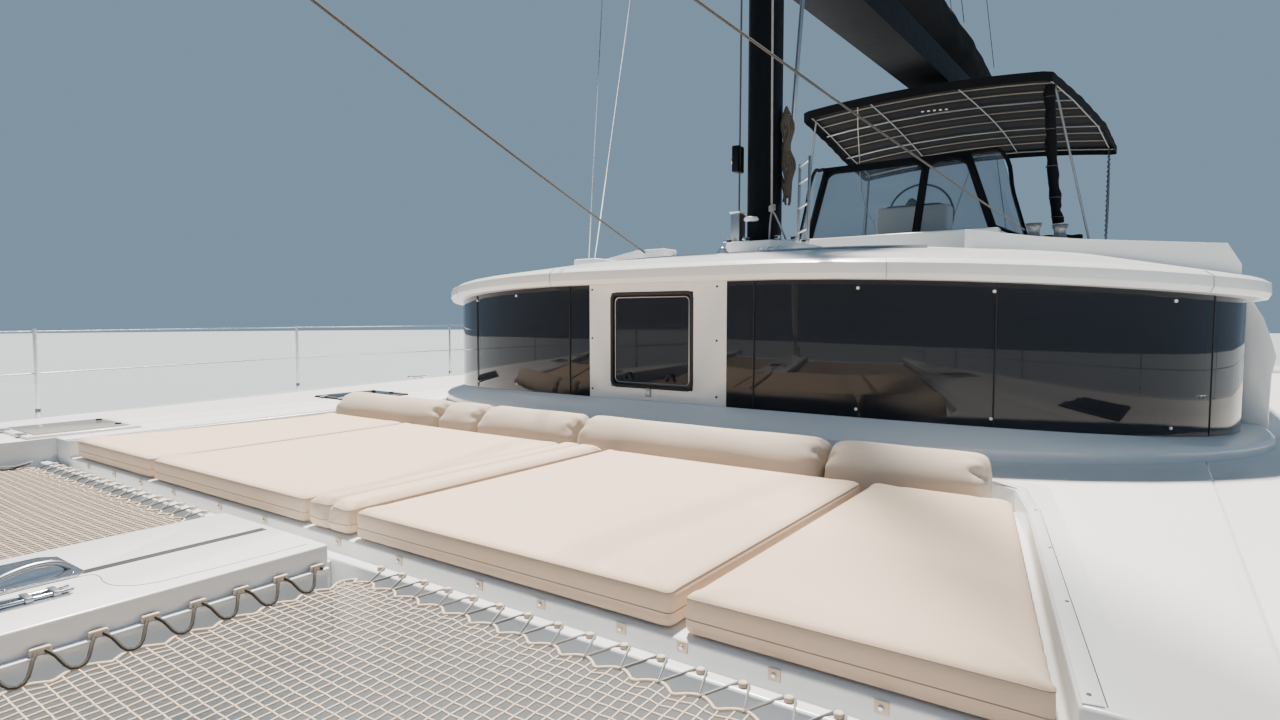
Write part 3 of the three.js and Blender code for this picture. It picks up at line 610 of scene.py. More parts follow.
def build(name, parts, body="boat"):
    """Joins the parts into one piece and mounts it."""
    return mount(joined(name, parts), body)


# %% [markdown]
# ## Mouldings
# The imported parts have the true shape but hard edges. A moulding comes out of a female mould, so every
# corner is rounded. Each large part is copied, its loose triangles are merged back into faces, and its
# edges are bevelled; the copy then stands for the part.


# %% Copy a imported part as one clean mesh
def merged(node, name, material):
    piece = bpy.data.objects.new(name, nodes[node].data.copy())
    bpy.context.scene.collection.objects.link(piece)
    fresh(piece)
    bpy.ops.mesh.customdata_custom_splitnormals_clear()
    with editing(piece):
        bpy.ops.mesh.remove_doubles(threshold=0.0001)
        bpy.ops.mesh.dissolve_limited(angle_limit=math.radians(0.5))
    dress(piece, material)
    return piece


# The node, its finish and slot, how far its edges are rounded, and the angle that counts as an edge
MOULDINGS = [
    ("hull_port", HULL_SKIN, "gelcoat", 0.018, 24),
    ("hull_starboard", HULL_SKIN, "gelcoat", 0.018, 24),
    ("bridgedeck", DECK_WHITE, "gelcoat", 0.010, 30),
    ("bow_crossbeam", WHITE, "gelcoat", 0.006, 40),
    ("longeron", WHITE, "gelcoat", 0.014, 30),
    ("coachroof_base", WHITE, "gelcoat", 0.010, 24),
    ("centre_panel", WHITE, "gelcoat", 0.004, 30),
    ("roof", WHITE, "gelcoat", 0.020, 18),
    ("aft_bulkhead", WHITE, "gelcoat", 0.006, 30),
    ("flybridge_coaming", WHITE, "gelcoat", 0.025, 30),
    ("helm_console", WHITE, "gelcoat", 0.030, 30),
    ("front_glass_port", DARK_GLASS, "glass", 0.001, 30),
    ("front_glass_starboard", DARK_GLASS, "glass", 0.001, 30),
    ("mast", MAST_BLACK, "spar", 0.004, 40),
    ("boom", MAST_BLACK, "spar", 0.040, 40),
    ("cockpit_seat", WHITE, "gelcoat", 0.020, 30),
    ("cockpit_table", WOOD, "wood", 0.012, 30),
    ("saloon_seat", WOOD, "wood", 0.020, 30),
]
LOCKER_LIP = 0.06  # from the edge of a bow locker's lid to the well under it
LOCKER_DEEP = 0.30


def locker_well(piece, side):
    """Cuts the well under a bow locker's lid into the deck of a hull."""
    low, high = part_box(f"bow_locker_lid_{side}")
    low += Vector((LOCKER_LIP, LOCKER_LIP, -LOCKER_DEEP))
    high -= Vector((LOCKER_LIP, LOCKER_LIP, 0))
    fresh()
    bpy.ops.mesh.primitive_cube_add(size=1, location=(low + high) / 2, scale=high - low)
    cutter = settle("well", HULL_SKIN)
    finish_modifier(piece, "BOOLEAN", object=cutter, operation="DIFFERENCE", solver="EXACT")
    bpy.data.objects.remove(cutter)


for node, material, slot, width, sharp in MOULDINGS:
    piece = merged(node, f"moulded_{node}", material)
    if node.startswith("hull_"):
        locker_well(piece, node.removeprefix("hull_"))
    soften(piece, width, 3, sharp)
    body = "main_boom" if node == "boom" else "boat"
    mount(piece, body, replaces=[node])
print("mouldings:", len(MOULDINGS))

# %% [markdown]
# ## The bow nets
# Between the hulls and the centre spine lie two nets of tan rope, a square mesh of about 4 cm laced to
# buttons all round. A net could be an image with holes, but its ropes are round and throw shadows. So a
# grid is laid in the frame, its edge pulled into scallops by the lacing; each family of its lines is
# kept in turn, made a curve and given thickness.

# %% Net sizes
MESH = 0.038
NET_ROPE = 0.0027
EDGE_ROPE = 0.0048
AFT_SLOT = 0.044
SPINE_SLOT = 0.060
BUTTON_PITCH = 0.113
EDGE_PITCH = 0.24
SPINE_PITCH = 0.12
SPINE_KNOB = 6.07  # one knob stands here, the others a pitch apart
net_low, net_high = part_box("trampoline_port")
NET_LEVEL = net_high.z - 0.008
SPINE_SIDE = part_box("longeron")[1].y
DECK_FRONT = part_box("bridgedeck")[1].x
BEAM_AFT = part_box("bow_crossbeam")[0].x


def hull_inside(x):
    """Inboard side of the hull beside the net."""
    return 2.80 + 0.60 * max(0.0, (x - 5.30) / 4.15) ** 1.3


# %% Lay the grid in the frame
def net_point(u, v):
    """u runs forward and v outboard, from 0 to 1; the edges are scalloped between their lacings."""
    aft, fore = DECK_FRONT + AFT_SLOT, BEAM_AFT - 0.085
    x = aft + (fore - aft) * u
    inner, outer = SPINE_SIDE + SPINE_SLOT, hull_inside(x) - 0.075
    y = inner + (outer - inner) * v

    def scallop(run, pitch, depth, distance, tip=0.35):
        wave = 1 - abs(math.sin(math.pi * (run / pitch - tip - 0.5)))
        return depth * wave * math.exp(-distance / 0.055)

    shift_x = scallop(y, BUTTON_PITCH, 0.034, x - aft) - scallop(y, EDGE_PITCH, 0.05, fore - x)
    shift_y = scallop(x - SPINE_KNOB, SPINE_PITCH, 0.036, y - inner, 0.5)
    shift_y -= scallop(x, EDGE_PITCH, 0.05, outer - y)
    sag = 0.030 * math.sin(math.pi * u) * math.sin(math.pi * v)
    return Vector((x + shift_x, y + shift_y, NET_LEVEL - sag))


def keep_edges(columns, rows, wanted):
    """The wanted edges of a grid, without its faces."""
    grid_mesh = grid(columns, rows)
    bpy.ops.object.mode_set(mode="EDIT")
    bpy.ops.mesh.select_mode(type="EDGE")
    bpy.ops.mesh.select_all(action="SELECT")
    bpy.ops.mesh.delete(type="ONLY_FACE")
    bpy.ops.mesh.select_all(action="DESELECT")
    bpy.ops.object.mode_set(mode="OBJECT")
    for edge in grid_mesh.data.edges:
        edge.select = not wanted(*(grid_mesh.data.vertices[i].co for i in edge.vertices))
    bpy.ops.object.mode_set(mode="EDIT")
    bpy.ops.mesh.delete(type="EDGE")
    bpy.ops.mesh.select_mode(type="VERT")
    bpy.ops.object.mode_set(mode="OBJECT")
    return grid_mesh


def roped(lines, radius, lift, over):
    """Moves each vertex to its place in the net and gives the lines their thickness."""
    for vertex in lines.data.vertices:
        u, v = vertex.co.x + 0.5, vertex.co.y + 0.5
        weave = NET_ROPE * 0.3 * over * (1 if round(u * COLUMNS + v * ROWS) % 2 else -1)
        vertex.co = net_point(u, v) + up(lift + weave)
    return thickened(lines, radius, TAN_ROPE)


COLUMNS = round((BEAM_AFT - DECK_FRONT) / MESH)
ROWS = round((net_high.y - net_low.y) / MESH)
lengthwise = keep_edges(COLUMNS, ROWS, lambda a, b: abs(a.y - b.y) < TINY)
crosswise = keep_edges(COLUMNS, ROWS, lambda a, b: abs(a.x - b.x) < TINY)
border = keep_edges(COLUMNS * 3, ROWS * 3, lambda a, b: max(abs(a.x + b.x), abs(a.y + b.y)) > 1 - TINY)
net_lines = [roped(lengthwise, NET_ROPE, 0.0, 1), roped(crosswise, NET_ROPE, 0.0, -1)]
net_port = joined("net_port", [*net_lines, roped(border, EDGE_ROPE, 0.002, 0)])
net_starboard = mirrored(net_port)
mount(net_port, replaces=["trampoline_port"])
mount(net_starboard, replaces=["trampoline_starboard"])
print("net lines:", COLUMNS, "by", ROWS, "faces each:", len(net_port.data.polygons))

# %% [markdown]
# The lacing zigzags between the net's scallops and a row of round buttons on the deck's front lip. On
# the spine and the hulls a thicker dark line does the same in longer steps.

# %% Buttons on the front lip, and the zigzag line
LIP_X = DECK_FRONT - 0.024
LIP_TOP = 1.970
net_span = range(4, round((hull_inside(DECK_FRONT) - 0.05) / BUTTON_PITCH))
button_ys = [k * BUTTON_PITCH for k in net_span if k * BUTTON_PITCH > SPINE_SIDE + 0.03]
button = bar("button", (0, 0, 0), (0, 0, 0.012), 0.0125, TAN_ROPE, 16, 0.0105, 0.003)
buttons = repeated("lacing_buttons_port", button, [(LIP_X, y, LIP_TOP) for y in button_ys])
both(buttons)

zigzag = []
for y in button_ys:
    zigzag += [
        (LIP_X - 0.012, y - 0.008, LIP_TOP + 0.006),
        (LIP_X - 0.004, y + 0.014, LIP_TOP + 0.006),
        (DECK_FRONT + AFT_SLOT + 0.008, y + 0.35 * BUTTON_PITCH, NET_LEVEL + 0.004),
        (DECK_FRONT + AFT_SLOT - 0.008, y + 0.42 * BUTTON_PITCH, NET_LEVEL + 0.006),
    ]
both(tube("lacing_front_port", zigzag, 0.0040, GREY_ROPE, smooth=False))

# %% The dark lacing along the spine, the hull and the crossbeam
# How far along the step, in from the edge and up each bend of the line lies
BENDS = [(0, 0.012, 0.012), (0.10, 0.030, 0.006), (0.45, 0.105, 0), (0.62, 0.100, 0.008)]
BENDS.append((0.85, 0.040, 0.010))


def edge_lacing(name, start, end, inward):
    """A double dark line from hooks on an edge down to the net; inward points from edge to net."""
    start, end, inward = Vector(start), Vector(end), Vector(inward)
    steps = int((end - start).length / EDGE_PITCH)
    run = (end - start) / steps
    hooks = [start + run * (k + 0.35) for k in range(steps)]
    line = [at + run * along + inward * out + up(z) for at in hooks for along, out, z in BENDS]
    parts = [tube(name, line, 0.0055, DARK_ROPE)]
    parts.append(tube(name, [p + up(0.011) + run * 0.06 for p in line], 0.0044, GREY_ROPE))
    knob = bar("knob", (0, 0, -0.004), (0, 0, 0.018), 0.015, TAN_ROPE, 12, 0.012)
    parts.append(repeated("knobs", knob, [at + inward * 0.012 for at in hooks]))
    both(joined(name, parts))


LEDGE_TOP = 2.000
knob_count = int((BEAM_AFT - 0.08 - SPINE_KNOB) / SPINE_PITCH)
knob_xs = [SPINE_KNOB + k * SPINE_PITCH for k in range(-6, knob_count + 1)]
spine_knob = block("knob", (-0.0225, -0.007, -0.003), (0.0225, 0.007, 0.018), TAN_ROPE, 0.005)
spine_parts = [repeated("knobs", spine_knob, [(x, SPINE_SIDE + 0.014, LEDGE_TOP) for x in knob_xs])]
spine_line = []
for x in knob_xs:
    spine_line += [
        (x - 0.014, SPINE_SIDE + 0.028, LEDGE_TOP + 0.004),
        (x, SPINE_SIDE + 0.006, LEDGE_TOP + 0.008),
        (x + 0.014, SPINE_SIDE + 0.028, LEDGE_TOP + 0.004),
        (x + SPINE_PITCH / 2, SPINE_SIDE + SPINE_SLOT + 0.004, NET_LEVEL + 0.005),
    ]
spine_parts.append(tube("line", spine_line, 0.0050, DARK_ROPE))
both(joined("lacing_spine_port", spine_parts))
hull_edge = [(x, hull_inside(x) - 0.002, NET_LEVEL + 0.01) for x in (BEAM_AFT - 0.05, 5.30)]
edge_lacing("lacing_hull_port", *hull_edge, (0, -1, 0))
beam_edge = [(BEAM_AFT - 0.01, y, NET_LEVEL) for y in (0.42, 3.00)]
edge_lacing("lacing_beam_port", *beam_edge, (-1, 0, 0))

# %% [markdown]
# ## The sunbed
# Five foam pads lie side by side in the foredeck's recess, with a welt sewn round the top edge and
# another across the front. A pad swells from its foam, is drawn in at the seams and stays flat below.
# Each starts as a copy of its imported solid, a little smaller; it is remeshed, blown up by cloth under
# pressure with its underside held, and capped so that it stays inside its place.


# %% Blow up a cushion
def remeshed(node, name, shrink, rounding, voxel):
    piece = merged(node, name, BEIGE)
    with editing(piece):
        bpy.ops.transform.shrink_fatten(value=-shrink, use_even_offset=True)
    voxelled(piece, voxel, rounding)
    return piece


def inflate(piece, cap, pressure=4.0):
    """Cloth under pressure with the underside pinned, each point moved by no more than the cap."""
    before = [v.co.copy() for v in piece.data.vertices]
    low = min(co.z for co in before)
    pins = piece.vertex_groups.new(name="underside")
    pins.add([i for i, co in enumerate(before) if co.z < low + 0.012], 1.0, "REPLACE")
    cloth = piece.modifiers.new("cloth", "CLOTH")
    cloth.settings.quality = 4
    cloth.settings.mass = 0.4
    cloth.settings.use_pressure = True
    cloth.settings.uniform_pressure_force = pressure
    cloth.settings.effector_weights.gravity = 0.0
    cloth.settings.vertex_group_mass = "underside"
    cloth.point_cache.frame_start = 1
    cloth.point_cache.frame_end = 20
    for frame_number in range(1, 21):
        bpy.context.scene.frame_set(frame_number)
    fresh(piece)
    bpy.ops.object.modifier_apply(modifier=cloth.name)
    for vertex, start in zip(piece.data.vertices, before):
        moved = vertex.co - start
        vertex.co = start + moved * min(1.0, cap / max(moved.length, TINY))
    bpy.context.scene.frame_set(1)


def welt(piece, height, radius=0.0022):
    """A sewn cord round the piece at a height: a copy is cut there and the cut edge made a rope."""
    cut = duplicate(piece)
    with editing(cut):
        bpy.ops.mesh.bisect(plane_co=(0, 0, height), plane_no=(0, 0, 1), clear_inner=True, clear_outer=True)
        bpy.ops.mesh.select_all(action="SELECT")
        bpy.ops.mesh.remove_doubles(threshold=0.006)
    return thickened(cut, radius, PALE_WELT)


def sew_channel(piece, low, high, depth=0.020, width=0.011):
    """Draws the top and front of a pad in along its middle, fore and aft."""
    middle = (low.y + high.y) / 2
    for vertex in piece.data.vertices:
        pull = depth * math.exp(-(((vertex.co.y - middle) / width) ** 2))
        vertex.co.z -= pull * max(0.0, (vertex.co.z - low.z) / (high.z - low.z)) ** 2
        vertex.co.x -= pull * max(0.0, 1 - (high.x - vertex.co.x) / 0.03)


# %% The five pads
PADS = ["starboard_outer", "starboard", "centre", "port", "port_outer"]
for name in PADS:
    node = f"sunbed_pad_{name}"
    low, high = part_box(node)
    pad = remeshed(node, f"sunbed_cushion_{name}", 0.006, 0.022, 0.015)
    inflate(pad, 0.012)
    eased(pad)
    if name == "centre":
        finish_modifier(pad, "SUBSURF", levels=1, render_levels=1)
        sew_channel(pad, low, high)
    welts = joined(f"sunbed_welt_{name}", [welt(pad, high.z - 0.022), welt(pad, high.z - 0.075, 0.0016)])
    mount(pad, replaces=[node])
    mount(welts)
    print("pad", name, len(pad.data.polygons), "faces")

# %% [markdown]
# The bolsters behind the pads are soft rolls with flattened ends, where the cover is gathered round a
# seam. They are blown up in the same way, with more room to swell.

# %% The five bolsters
def gather(roll, low, high, reach=0.16):
    """Puckers the cover of a roll towards the middle of its ends, with creases that run out from there."""
    middle = (low + high) / 2
    for vertex in roll.data.vertices:
        near_end = max(0.0, 1 - min(vertex.co.y - low.y, high.y - vertex.co.y) / reach)
        around = math.atan2(vertex.co.z - middle.z, vertex.co.x - middle.x)
        pucker = (0.06 + 0.05 * math.sin(9 * around + 2 * middle.y)) * near_end**2
        crease = 0.012 * math.sin(3 * around + 7 * vertex.co.y) * math.sin(5.3 * vertex.co.y + middle.y)
        if vertex.co.z > low.z + 0.02:
            vertex.co.x += (middle.x - vertex.co.x) * (pucker + crease)
            vertex.co.z += (middle.z - vertex.co.z) * (pucker + crease)


for number in range(1, 6):
    node = f"bolster_{number}"
    roll = remeshed(node, f"headrest_bolster_{number}", 0.012, 0.050, 0.011)
    inflate(roll, 0.020, 6.0)
    eased(roll)
    gather(roll, *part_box(node))
    dress(roll, TAUPE)
    mount(roll, replaces=[node])

# %% [markdown]
# ## Small hardware
# A screw head, a snap stud, a turning block and a cleat are each modelled once at the origin and then
# set in place wherever the boat has one.


# %% Plates, screws and studs
def slab(name, outline, low, high, material, width=0.002):
    """A plate cut to an outline in plan: a filled ring of points, thickened, its edges rounded."""
    fresh()
    bpy.ops.mesh.primitive_circle_add(vertices=len(outline), fill_type="NGON")
    piece = settle(name, material)
    for vertex, (x, y) in zip(piece.data.vertices, outline):
        vertex.co = (x, y, low)
    finish_modifier(piece, "SOLIDIFY", thickness=high - low, offset=1)
    with editing(piece):
        bpy.ops.mesh.normals_make_consistent(inside=False)
    if min(v.co.z for v in piece.data.vertices) < low - TINY:
        piece.data.transform(Matrix.Translation(up(high - low)))
    return soften(piece, width)


def facing(axis, place=(0, 0, 0)):
    """A turn that brings +Z round to an axis, followed by a move."""
    return Matrix.Translation(Vector(place)) @ Vector(axis).to_track_quat("Z", "Y").to_matrix().to_4x4()


def studs(name, places, axis, radius, height, material):
    """Round low heads on a surface that faces along an axis."""
    head = bar("head", (0, 0, -0.002), (0, 0, height), radius, material, 12, radius * 0.8, height * 0.3)
    mount(repeated(name, head, [facing(axis, p) for p in places]))


moulded = {o.name[8:]: o for o in bpy.data.objects if o.name.startswith("moulded_")}


def roof_point(x, y, lift=0.0):
    """A point on the roof's moulding, raised by the lift."""
    place = moulded["roof"].ray_cast(Vector((x, y, 8.0)), Vector((0, 0, -1)))[1]
    return Vector((x, y, place.z + lift))


# %% [markdown]
# ## The centre spine
# The spine between the nets is a box moulding. A dark rubber strip covers the slot for the chain, a
# stainless plate with a bent handle closes the bridle locker, and a small chrome latch lies beside it.
# A fine groove shows where a lid meets the moulding.

# %% Spine slot, plate, handle and latch
SPINE_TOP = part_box("longeron")[1].z


def on_spine(*points, lift=0.0):
    """Points of the plan set on the spine's top; a third number of a point is its height over it."""
    return [(x, y, SPINE_TOP + lift + sum(z)) for x, y, *z in points]


spine_slot = on_spine((5.33, -0.017, -0.003), (5.87, 0.017, 0.002))
mount(block("spine_slot", *spine_slot, BLACK_RUBBER, 0.001))
PLATE = [(5.862, -0.05), (5.862, 0.0), (5.885, 0.03), (6.30, 0.03), (6.30, -0.26), (5.90, -0.26)]
PLATE.append((5.862, -0.22))
mount(slab("bridle_plate", PLATE, SPINE_TOP, SPINE_TOP + 0.005, STEEL, 0.0015))
handle = [(6.10, -0.020, 0.006), (6.07, -0.025, 0.020), (6.02, -0.035, 0.034), (5.95, -0.048, 0.038)]
handle += [(5.905, -0.056, 0.026), (5.88, -0.06, 0.006)]
mount(tube("bridle_handle", on_spine(*handle), 0.009, GREY_METAL, sides=3))
screws = [(5.89, -0.19), (5.89, -0.005), (6.05, 0.012), (6.20, 0.012), (6.05, -0.24), (6.20, -0.24)]
studs("bridle_plate_screws", on_spine(*screws, lift=0.004), (0, 0, 1), 0.007, 0.004, STEEL)
latch = [block("base", *on_spine((5.95, 0.115, 0), (6.15, 0.185, 0.005)), STEEL, 0.002)]
for y in (0.130, 0.168):
    latch.append(bar("rail", *on_spine((5.94, y), (6.14, y), lift=0.010), 0.006, STEEL))
for x in (5.97, 6.03, 6.10):
    ends = on_spine((x, 0.120, 0.004), (x + 0.018, 0.180, 0.019))
    latch.append(block("knuckle", *ends, GREY_METAL, 0.003))
build("spine_latch", latch)
GROOVE = [(6.30, 0.042), (5.90, 0.036), (5.86, 0.045), (5.852, 0.08), (5.862, 0.14), (5.850, 0.21)]
GROOVE += [(5.80, 0.26), (5.70, 0.275), (5.55, 0.285), (5.34, 0.288)]
mount(tube("spine_lid_groove", on_spine(*GROOVE), 0.0012, BLACK_RUBBER))
ledge_ends = ((5.31, SPINE_SIDE - 0.01, LEDGE_TOP - 0.015), (BEAM_AFT, SPINE_SIDE + 0.026, LEDGE_TOP))
both(block("spine_ledge_port", *ledge_ends, WHITE, 0.004))

# %% [markdown]
# ## Round the sunbed
# The recess has a narrow raised rim, screwed down. Below the pads' front edge a row of snap studs
# holds the covers, with a short tab of the cover's own cloth behind each stud.

# %% Snap studs and their tabs
SNAP_YS = [-2.30, -1.95, -1.62, -1.25, -0.80, -0.42, 0.10, 0.46, 0.857, 1.118, 1.409, 1.602, 1.855, 2.104]
FRONT, TAB_FRONT = 5.108, 5.112
studs("snap_studs", [(TAB_FRONT, y, 1.984) for y in SNAP_YS], (1, 0, 0), 0.0075, 0.006, STEEL)
tabs = []
for y in SNAP_YS:
    tabs.append(block("tab", (FRONT, y - 0.016, 1.968), (TAB_FRONT, y + 0.016, 1.999), BEIGE, 0.0015))
build("cover_tabs", tabs)

# %% The rim of the recess
RIM = [(3.165, 1.99), (3.27, 2.108), (3.60, 2.190), (5.10, 2.462)]


def beside(line, distance):
    """The line moved outboard."""
    moved = []
    for k, point in enumerate(line):
        before, after = Vector(line[max(0, k - 1)]), Vector(line[min(len(line) - 1, k + 1)])
        along = (after - before).normalized()
        moved.append(tuple(Vector(point) + Vector((-along.y, along.x)) * distance))
    return moved


DECK_LEVEL = 2.100
RIM_TOP = DECK_LEVEL + 0.004
rim_port = slab("recess_rim_port", beside(RIM, 0.006) + beside(RIM, 0.044)[::-1], DECK_LEVEL, RIM_TOP, WHITE)
mount(rim_port)
rim_ends = ((3.17, -2.650, DECK_LEVEL), (5.10, -2.606, RIM_TOP))
mount(block("recess_rim_starboard", *rim_ends, WHITE, 0.0015))
rim_screws = [(5.06, 2.477), (4.559, 2.400), (4.094, 2.316), (3.62, 2.222)]
rim_screws += [(x, -2.628) for x in (3.4, 3.9, 4.4, 4.9)]
RIM_JOINTS = {"port": [(3.592, 2.234), (5.086, 2.509)], "starboard": [(3.592, -2.665), (5.086, -2.665)]}
for label, line in RIM_JOINTS.items():
    joint = [(x, y, DECK_LEVEL) for x, y in line]
    mount(tube(f"rim_joint_{label}", joint, 0.0012, BLACK_RUBBER, smooth=False))
studs("rim_screws", [(x, y, DECK_LEVEL + 0.003) for x, y in rim_screws], (0, 0, 1), 0.006, 0.003, STEEL)

# %% [markdown]
# ## Coachroof front
# The glass is bonded outside the mouldings and held by white capped screws along both edges. Its
# panels meet at narrow black joints. The roof's brow is laid up in sections, which show as fine lines.


# %% Points on the plan curve of the glass
def glass_plan(degrees, inset=0.0, side=1):
    """A point of the coachroof's plan; 0 degrees is the start of the corner, 90 its end."""
    c, s = math.cos(math.radians(degrees)), math.sin(math.radians(degrees))
    x = 1.20 + (2.86 - inset - 1.20) * c
    y = 0.515 + (3.00 - inset - 0.515) * s
    outward = Vector((c / (1.66 - inset), s / (2.485 - inset), 0)).normalized()
    return Vector((x, side * y, -0.114 * s * s)), Vector((outward.x, side * outward.y, 0))


GLASS_TOP = 3.030
GLASS_LOW = 2.290
STUD_ANGLES = [17.5, 33.7, 59.2]
stud_places = []
for side in (1, -1):
    for degrees in STUD_ANGLES:
        at, outward = glass_plan(degrees, -0.001, side)
        for z in (GLASS_TOP - 0.045, GLASS_LOW + 0.045):
            stud_places.append(facing(outward, at + up(z)))
stud = bar("stud", (0, 0, -0.002), (0, 0, 0.006), 0.0095, WHITE, 12, 0.0075, 0.002)
mount(repeated("glass_studs", stud, stud_places))

# %% Joints of the glass and the brow
joints = []
for side in (1, -1):
    for degrees in (4, 34, 68):
        at = glass_plan(degrees, -0.0005, side)[0]
        ends = at + up(GLASS_LOW + 0.004), at + up(GLASS_TOP - 0.004)
        joints.append(bar("joint", *ends, 0.0035, BLACK_RUBBER, 6, width=0.0005))
build("glass_joints", joints)
BROW = [(-0.090, 3.0300), (-0.105, 3.0600), (-0.102, 3.1150), (-0.060, 3.1420)]
brow = []
for side, degrees in ((-1, 6), (1, 20.7), (1, 62), (-1, 40), (-1, 75)):
    line = [glass_plan(degrees, inset, side)[0] + up(z) for inset, z in BROW]
    brow.append(tube("joint", line, 0.0016, GREY_PLASTIC, smooth=False))
build("brow_joints", brow)

# %% [markdown]
# The white panel in the middle has a hinged window in a black frame with rounded corners, two dark
# handles inside its lower edge, and a latch under it. Six screws hold the panel.

# %% The opening window of the middle panel
PORT_LOW, PORT_HIGH = Vector((0, -0.335, 2.370)), Vector((0, 0.285, 2.975))
PANEL_FACE = 2.860


def rounded_loop(low, high, x, corner, steps=4):
    """Points round an upright rectangle that faces forward, with rounded corners."""
    points = []
    centres = [(high.y - corner, high.z - corner), (low.y + corner, high.z - corner)]
    centres += [(low.y + corner, low.z + corner), (high.y - corner, low.z + corner)]
    for quarter, (y, z) in enumerate(centres):
        for k in range(steps + 1):
            angle = math.pi / 2 * (quarter + k / steps)
            points.append((x, y + corner * math.cos(angle), z + corner * math.sin(angle)))
    return points


margin = Vector((0, 0.006, 0.006))
outer = rounded_loop(PORT_LOW + margin, PORT_HIGH - margin, PANEL_FACE - 0.004, 0.035)
mount(tube("opening_window_frame", outer, 0.012, BLACK_RUBBER, closed=True, smooth=False, sides=2))
inner = rounded_loop(PORT_LOW + margin * 5, PORT_HIGH - margin * 5, PANEL_FACE - 0.008, 0.03)
mount(tube("opening_window_inner_frame", inner, 0.004, GREY_METAL, closed=True, smooth=False))
for number, y in ((1, -0.20), (2, 0.12)):
    left, right = ((PANEL_FACE - 0.006, y + off, 2.42) for off in (-0.03, 0.03))
    line = [left, (PANEL_FACE + 0.004, y, 2.455), right]
    mount(tube(f"window_handle_{number}", line, 0.010, BLACK_RUBBER))
latch_ends = (PANEL_FACE - 0.002, -0.055, 2.315), (PANEL_FACE + 0.014, -0.020, 2.372)
mount(block("window_latch", *latch_ends, GREY_METAL, 0.005))
panel_screws = [(PANEL_FACE, y, z) for y in (-0.49, 0.45) for z in (3.000, 2.68, 2.345)]
studs("panel_screws", panel_screws, (1, 0, 0), 0.008, 0.004, BLACK_RUBBER)

# %% [markdown]
# ## On the roof, before the mast
# The headsail's sheet track crosses the roof; its blocks, a small white locker and a chrome fairlead
# stand beside it. The mast's foot is faired by a low plinth with turning blocks.


# %% Turning block
def turning_block(name, place, turn=0.0, size=1.0):
    """Two cheeks, a sheave between them and a pin, lying on deck."""
    parts = [bar("cheek", up(z), up(z + 0.006), 0.034, GREY_METAL, 20) for z in (0.006, 0.030)]
    parts.append(bar("sheave", up(0.013), up(0.029), 0.028, BLACK_RUBBER, 20))
    parts.append(bar("pin", up(0), up(0.042), 0.007, STEEL, 10))
    parts.append(block("becket", (0.020, -0.012, 0.008), (0.062, 0.012, 0.034), STEEL, 0.004))
    piece = joined(name, parts)
    turned = Matrix.Rotation(turn, 4, "Z") @ Matrix.Scale(size, 4)
    piece.data.transform(Matrix.Translation(Vector(place)) @ turned)
    mount(piece)


# %% Roof gear
TRACK_YS = [-1.35, -1.0, -0.6, -0.2, 0.2, 0.6, 1.0, 1.35]
track_line = [roof_point(1.80 - 0.10 * (y / 1.35) ** 2, y, 0.012) for y in TRACK_YS]
mount(tube("sheet_track", track_line, 0.011, GREY_METAL))
turning_block("sheet_block_starboard", roof_point(1.27, -1.10), 0.4, 1.5)
turning_block("sheet_block_low_starboard", roof_point(1.24, -0.86), 2.5, 1.3)
turning_block("sheet_block_inner", roof_point(1.28, -0.56), 3.0)


def roof_box(name, x, y, low, high, width):
    at = roof_point(x, y)
    mount(block(name, at + Vector(low), at + Vector(high), WHITE, width, 3))


roof_box("roof_locker", 1.30, -0.98, (-0.10, -0.11, -0.01), (0.10, 0.11, 0.105), 0.012)
ROOF_LINE = [(1.27, -1.06, 0.02), (1.27, -0.86, 0.02), (1.28, -0.56, 0.03), (1.33, -0.27, 0.04)]
mount(tube("roof_line", [roof_point(*p) for p in ROOF_LINE], 0.006, DARK_ROPE))
roof_box("roof_wedge", 1.55, -1.42, (-0.30, -0.14, -0.02), (0.24, 0.12, 0.045), 0.02)

# %% Fairlead dome and the plinth under the mast
at = roof_point(1.86, -0.06)
dome = [bar("foot", at, at + up(0.030), 0.045, STEEL, 24)]
dome.append(bar("cap", at + up(0.028), at + up(0.062), 0.040, STEEL, 24, 0.016, 0.012))
build("chrome_fairlead", dome)
PLINTH = [(0.90, -0.20), (1.52, -0.22), (1.60, -0.14), (1.60, 0.20), (1.52, 0.30), (0.90, 0.34)]
PLINTH += [(0.84, 0.20), (0.84, -0.10)]
PLINTH_TOP = 3.399
mount(slab("mast_plinth", PLINTH, 3.280, PLINTH_TOP, WHITE, 0.014))
FOOT_BLOCKS = [(1.55, 0.24, 0.6), (1.42, 0.31, 0.9), (1.20, 0.30, 1.5), (1.56, -0.02, 0.0)]
FOOT_BLOCKS.append((1.50, -0.20, 5.6))
for number, (x, y, turn) in enumerate(FOOT_BLOCKS, 1):
    turning_block(f"mast_foot_block_{number}", (x, y, PLINTH_TOP), turn, 0.8)
for number, (x, y) in enumerate([(1.70, 0.17), (1.70, 0.25), (1.72, 0.33)], 1):
    line = ring(roof_point(x, y, 0.022), (0, 0.022, 0), up(0.022))
    mount(tube(f"mast_foot_ring_{number}", line, 0.005, STEEL, closed=True))

# %% [markdown]
# ## The mast's foot
# Halyards run down the mast to clutches and a small winch. A grey halyard is tied off in front, the
# spare rope hangs in a long hank on the port side, and a narrow ladder leads up to the boom.


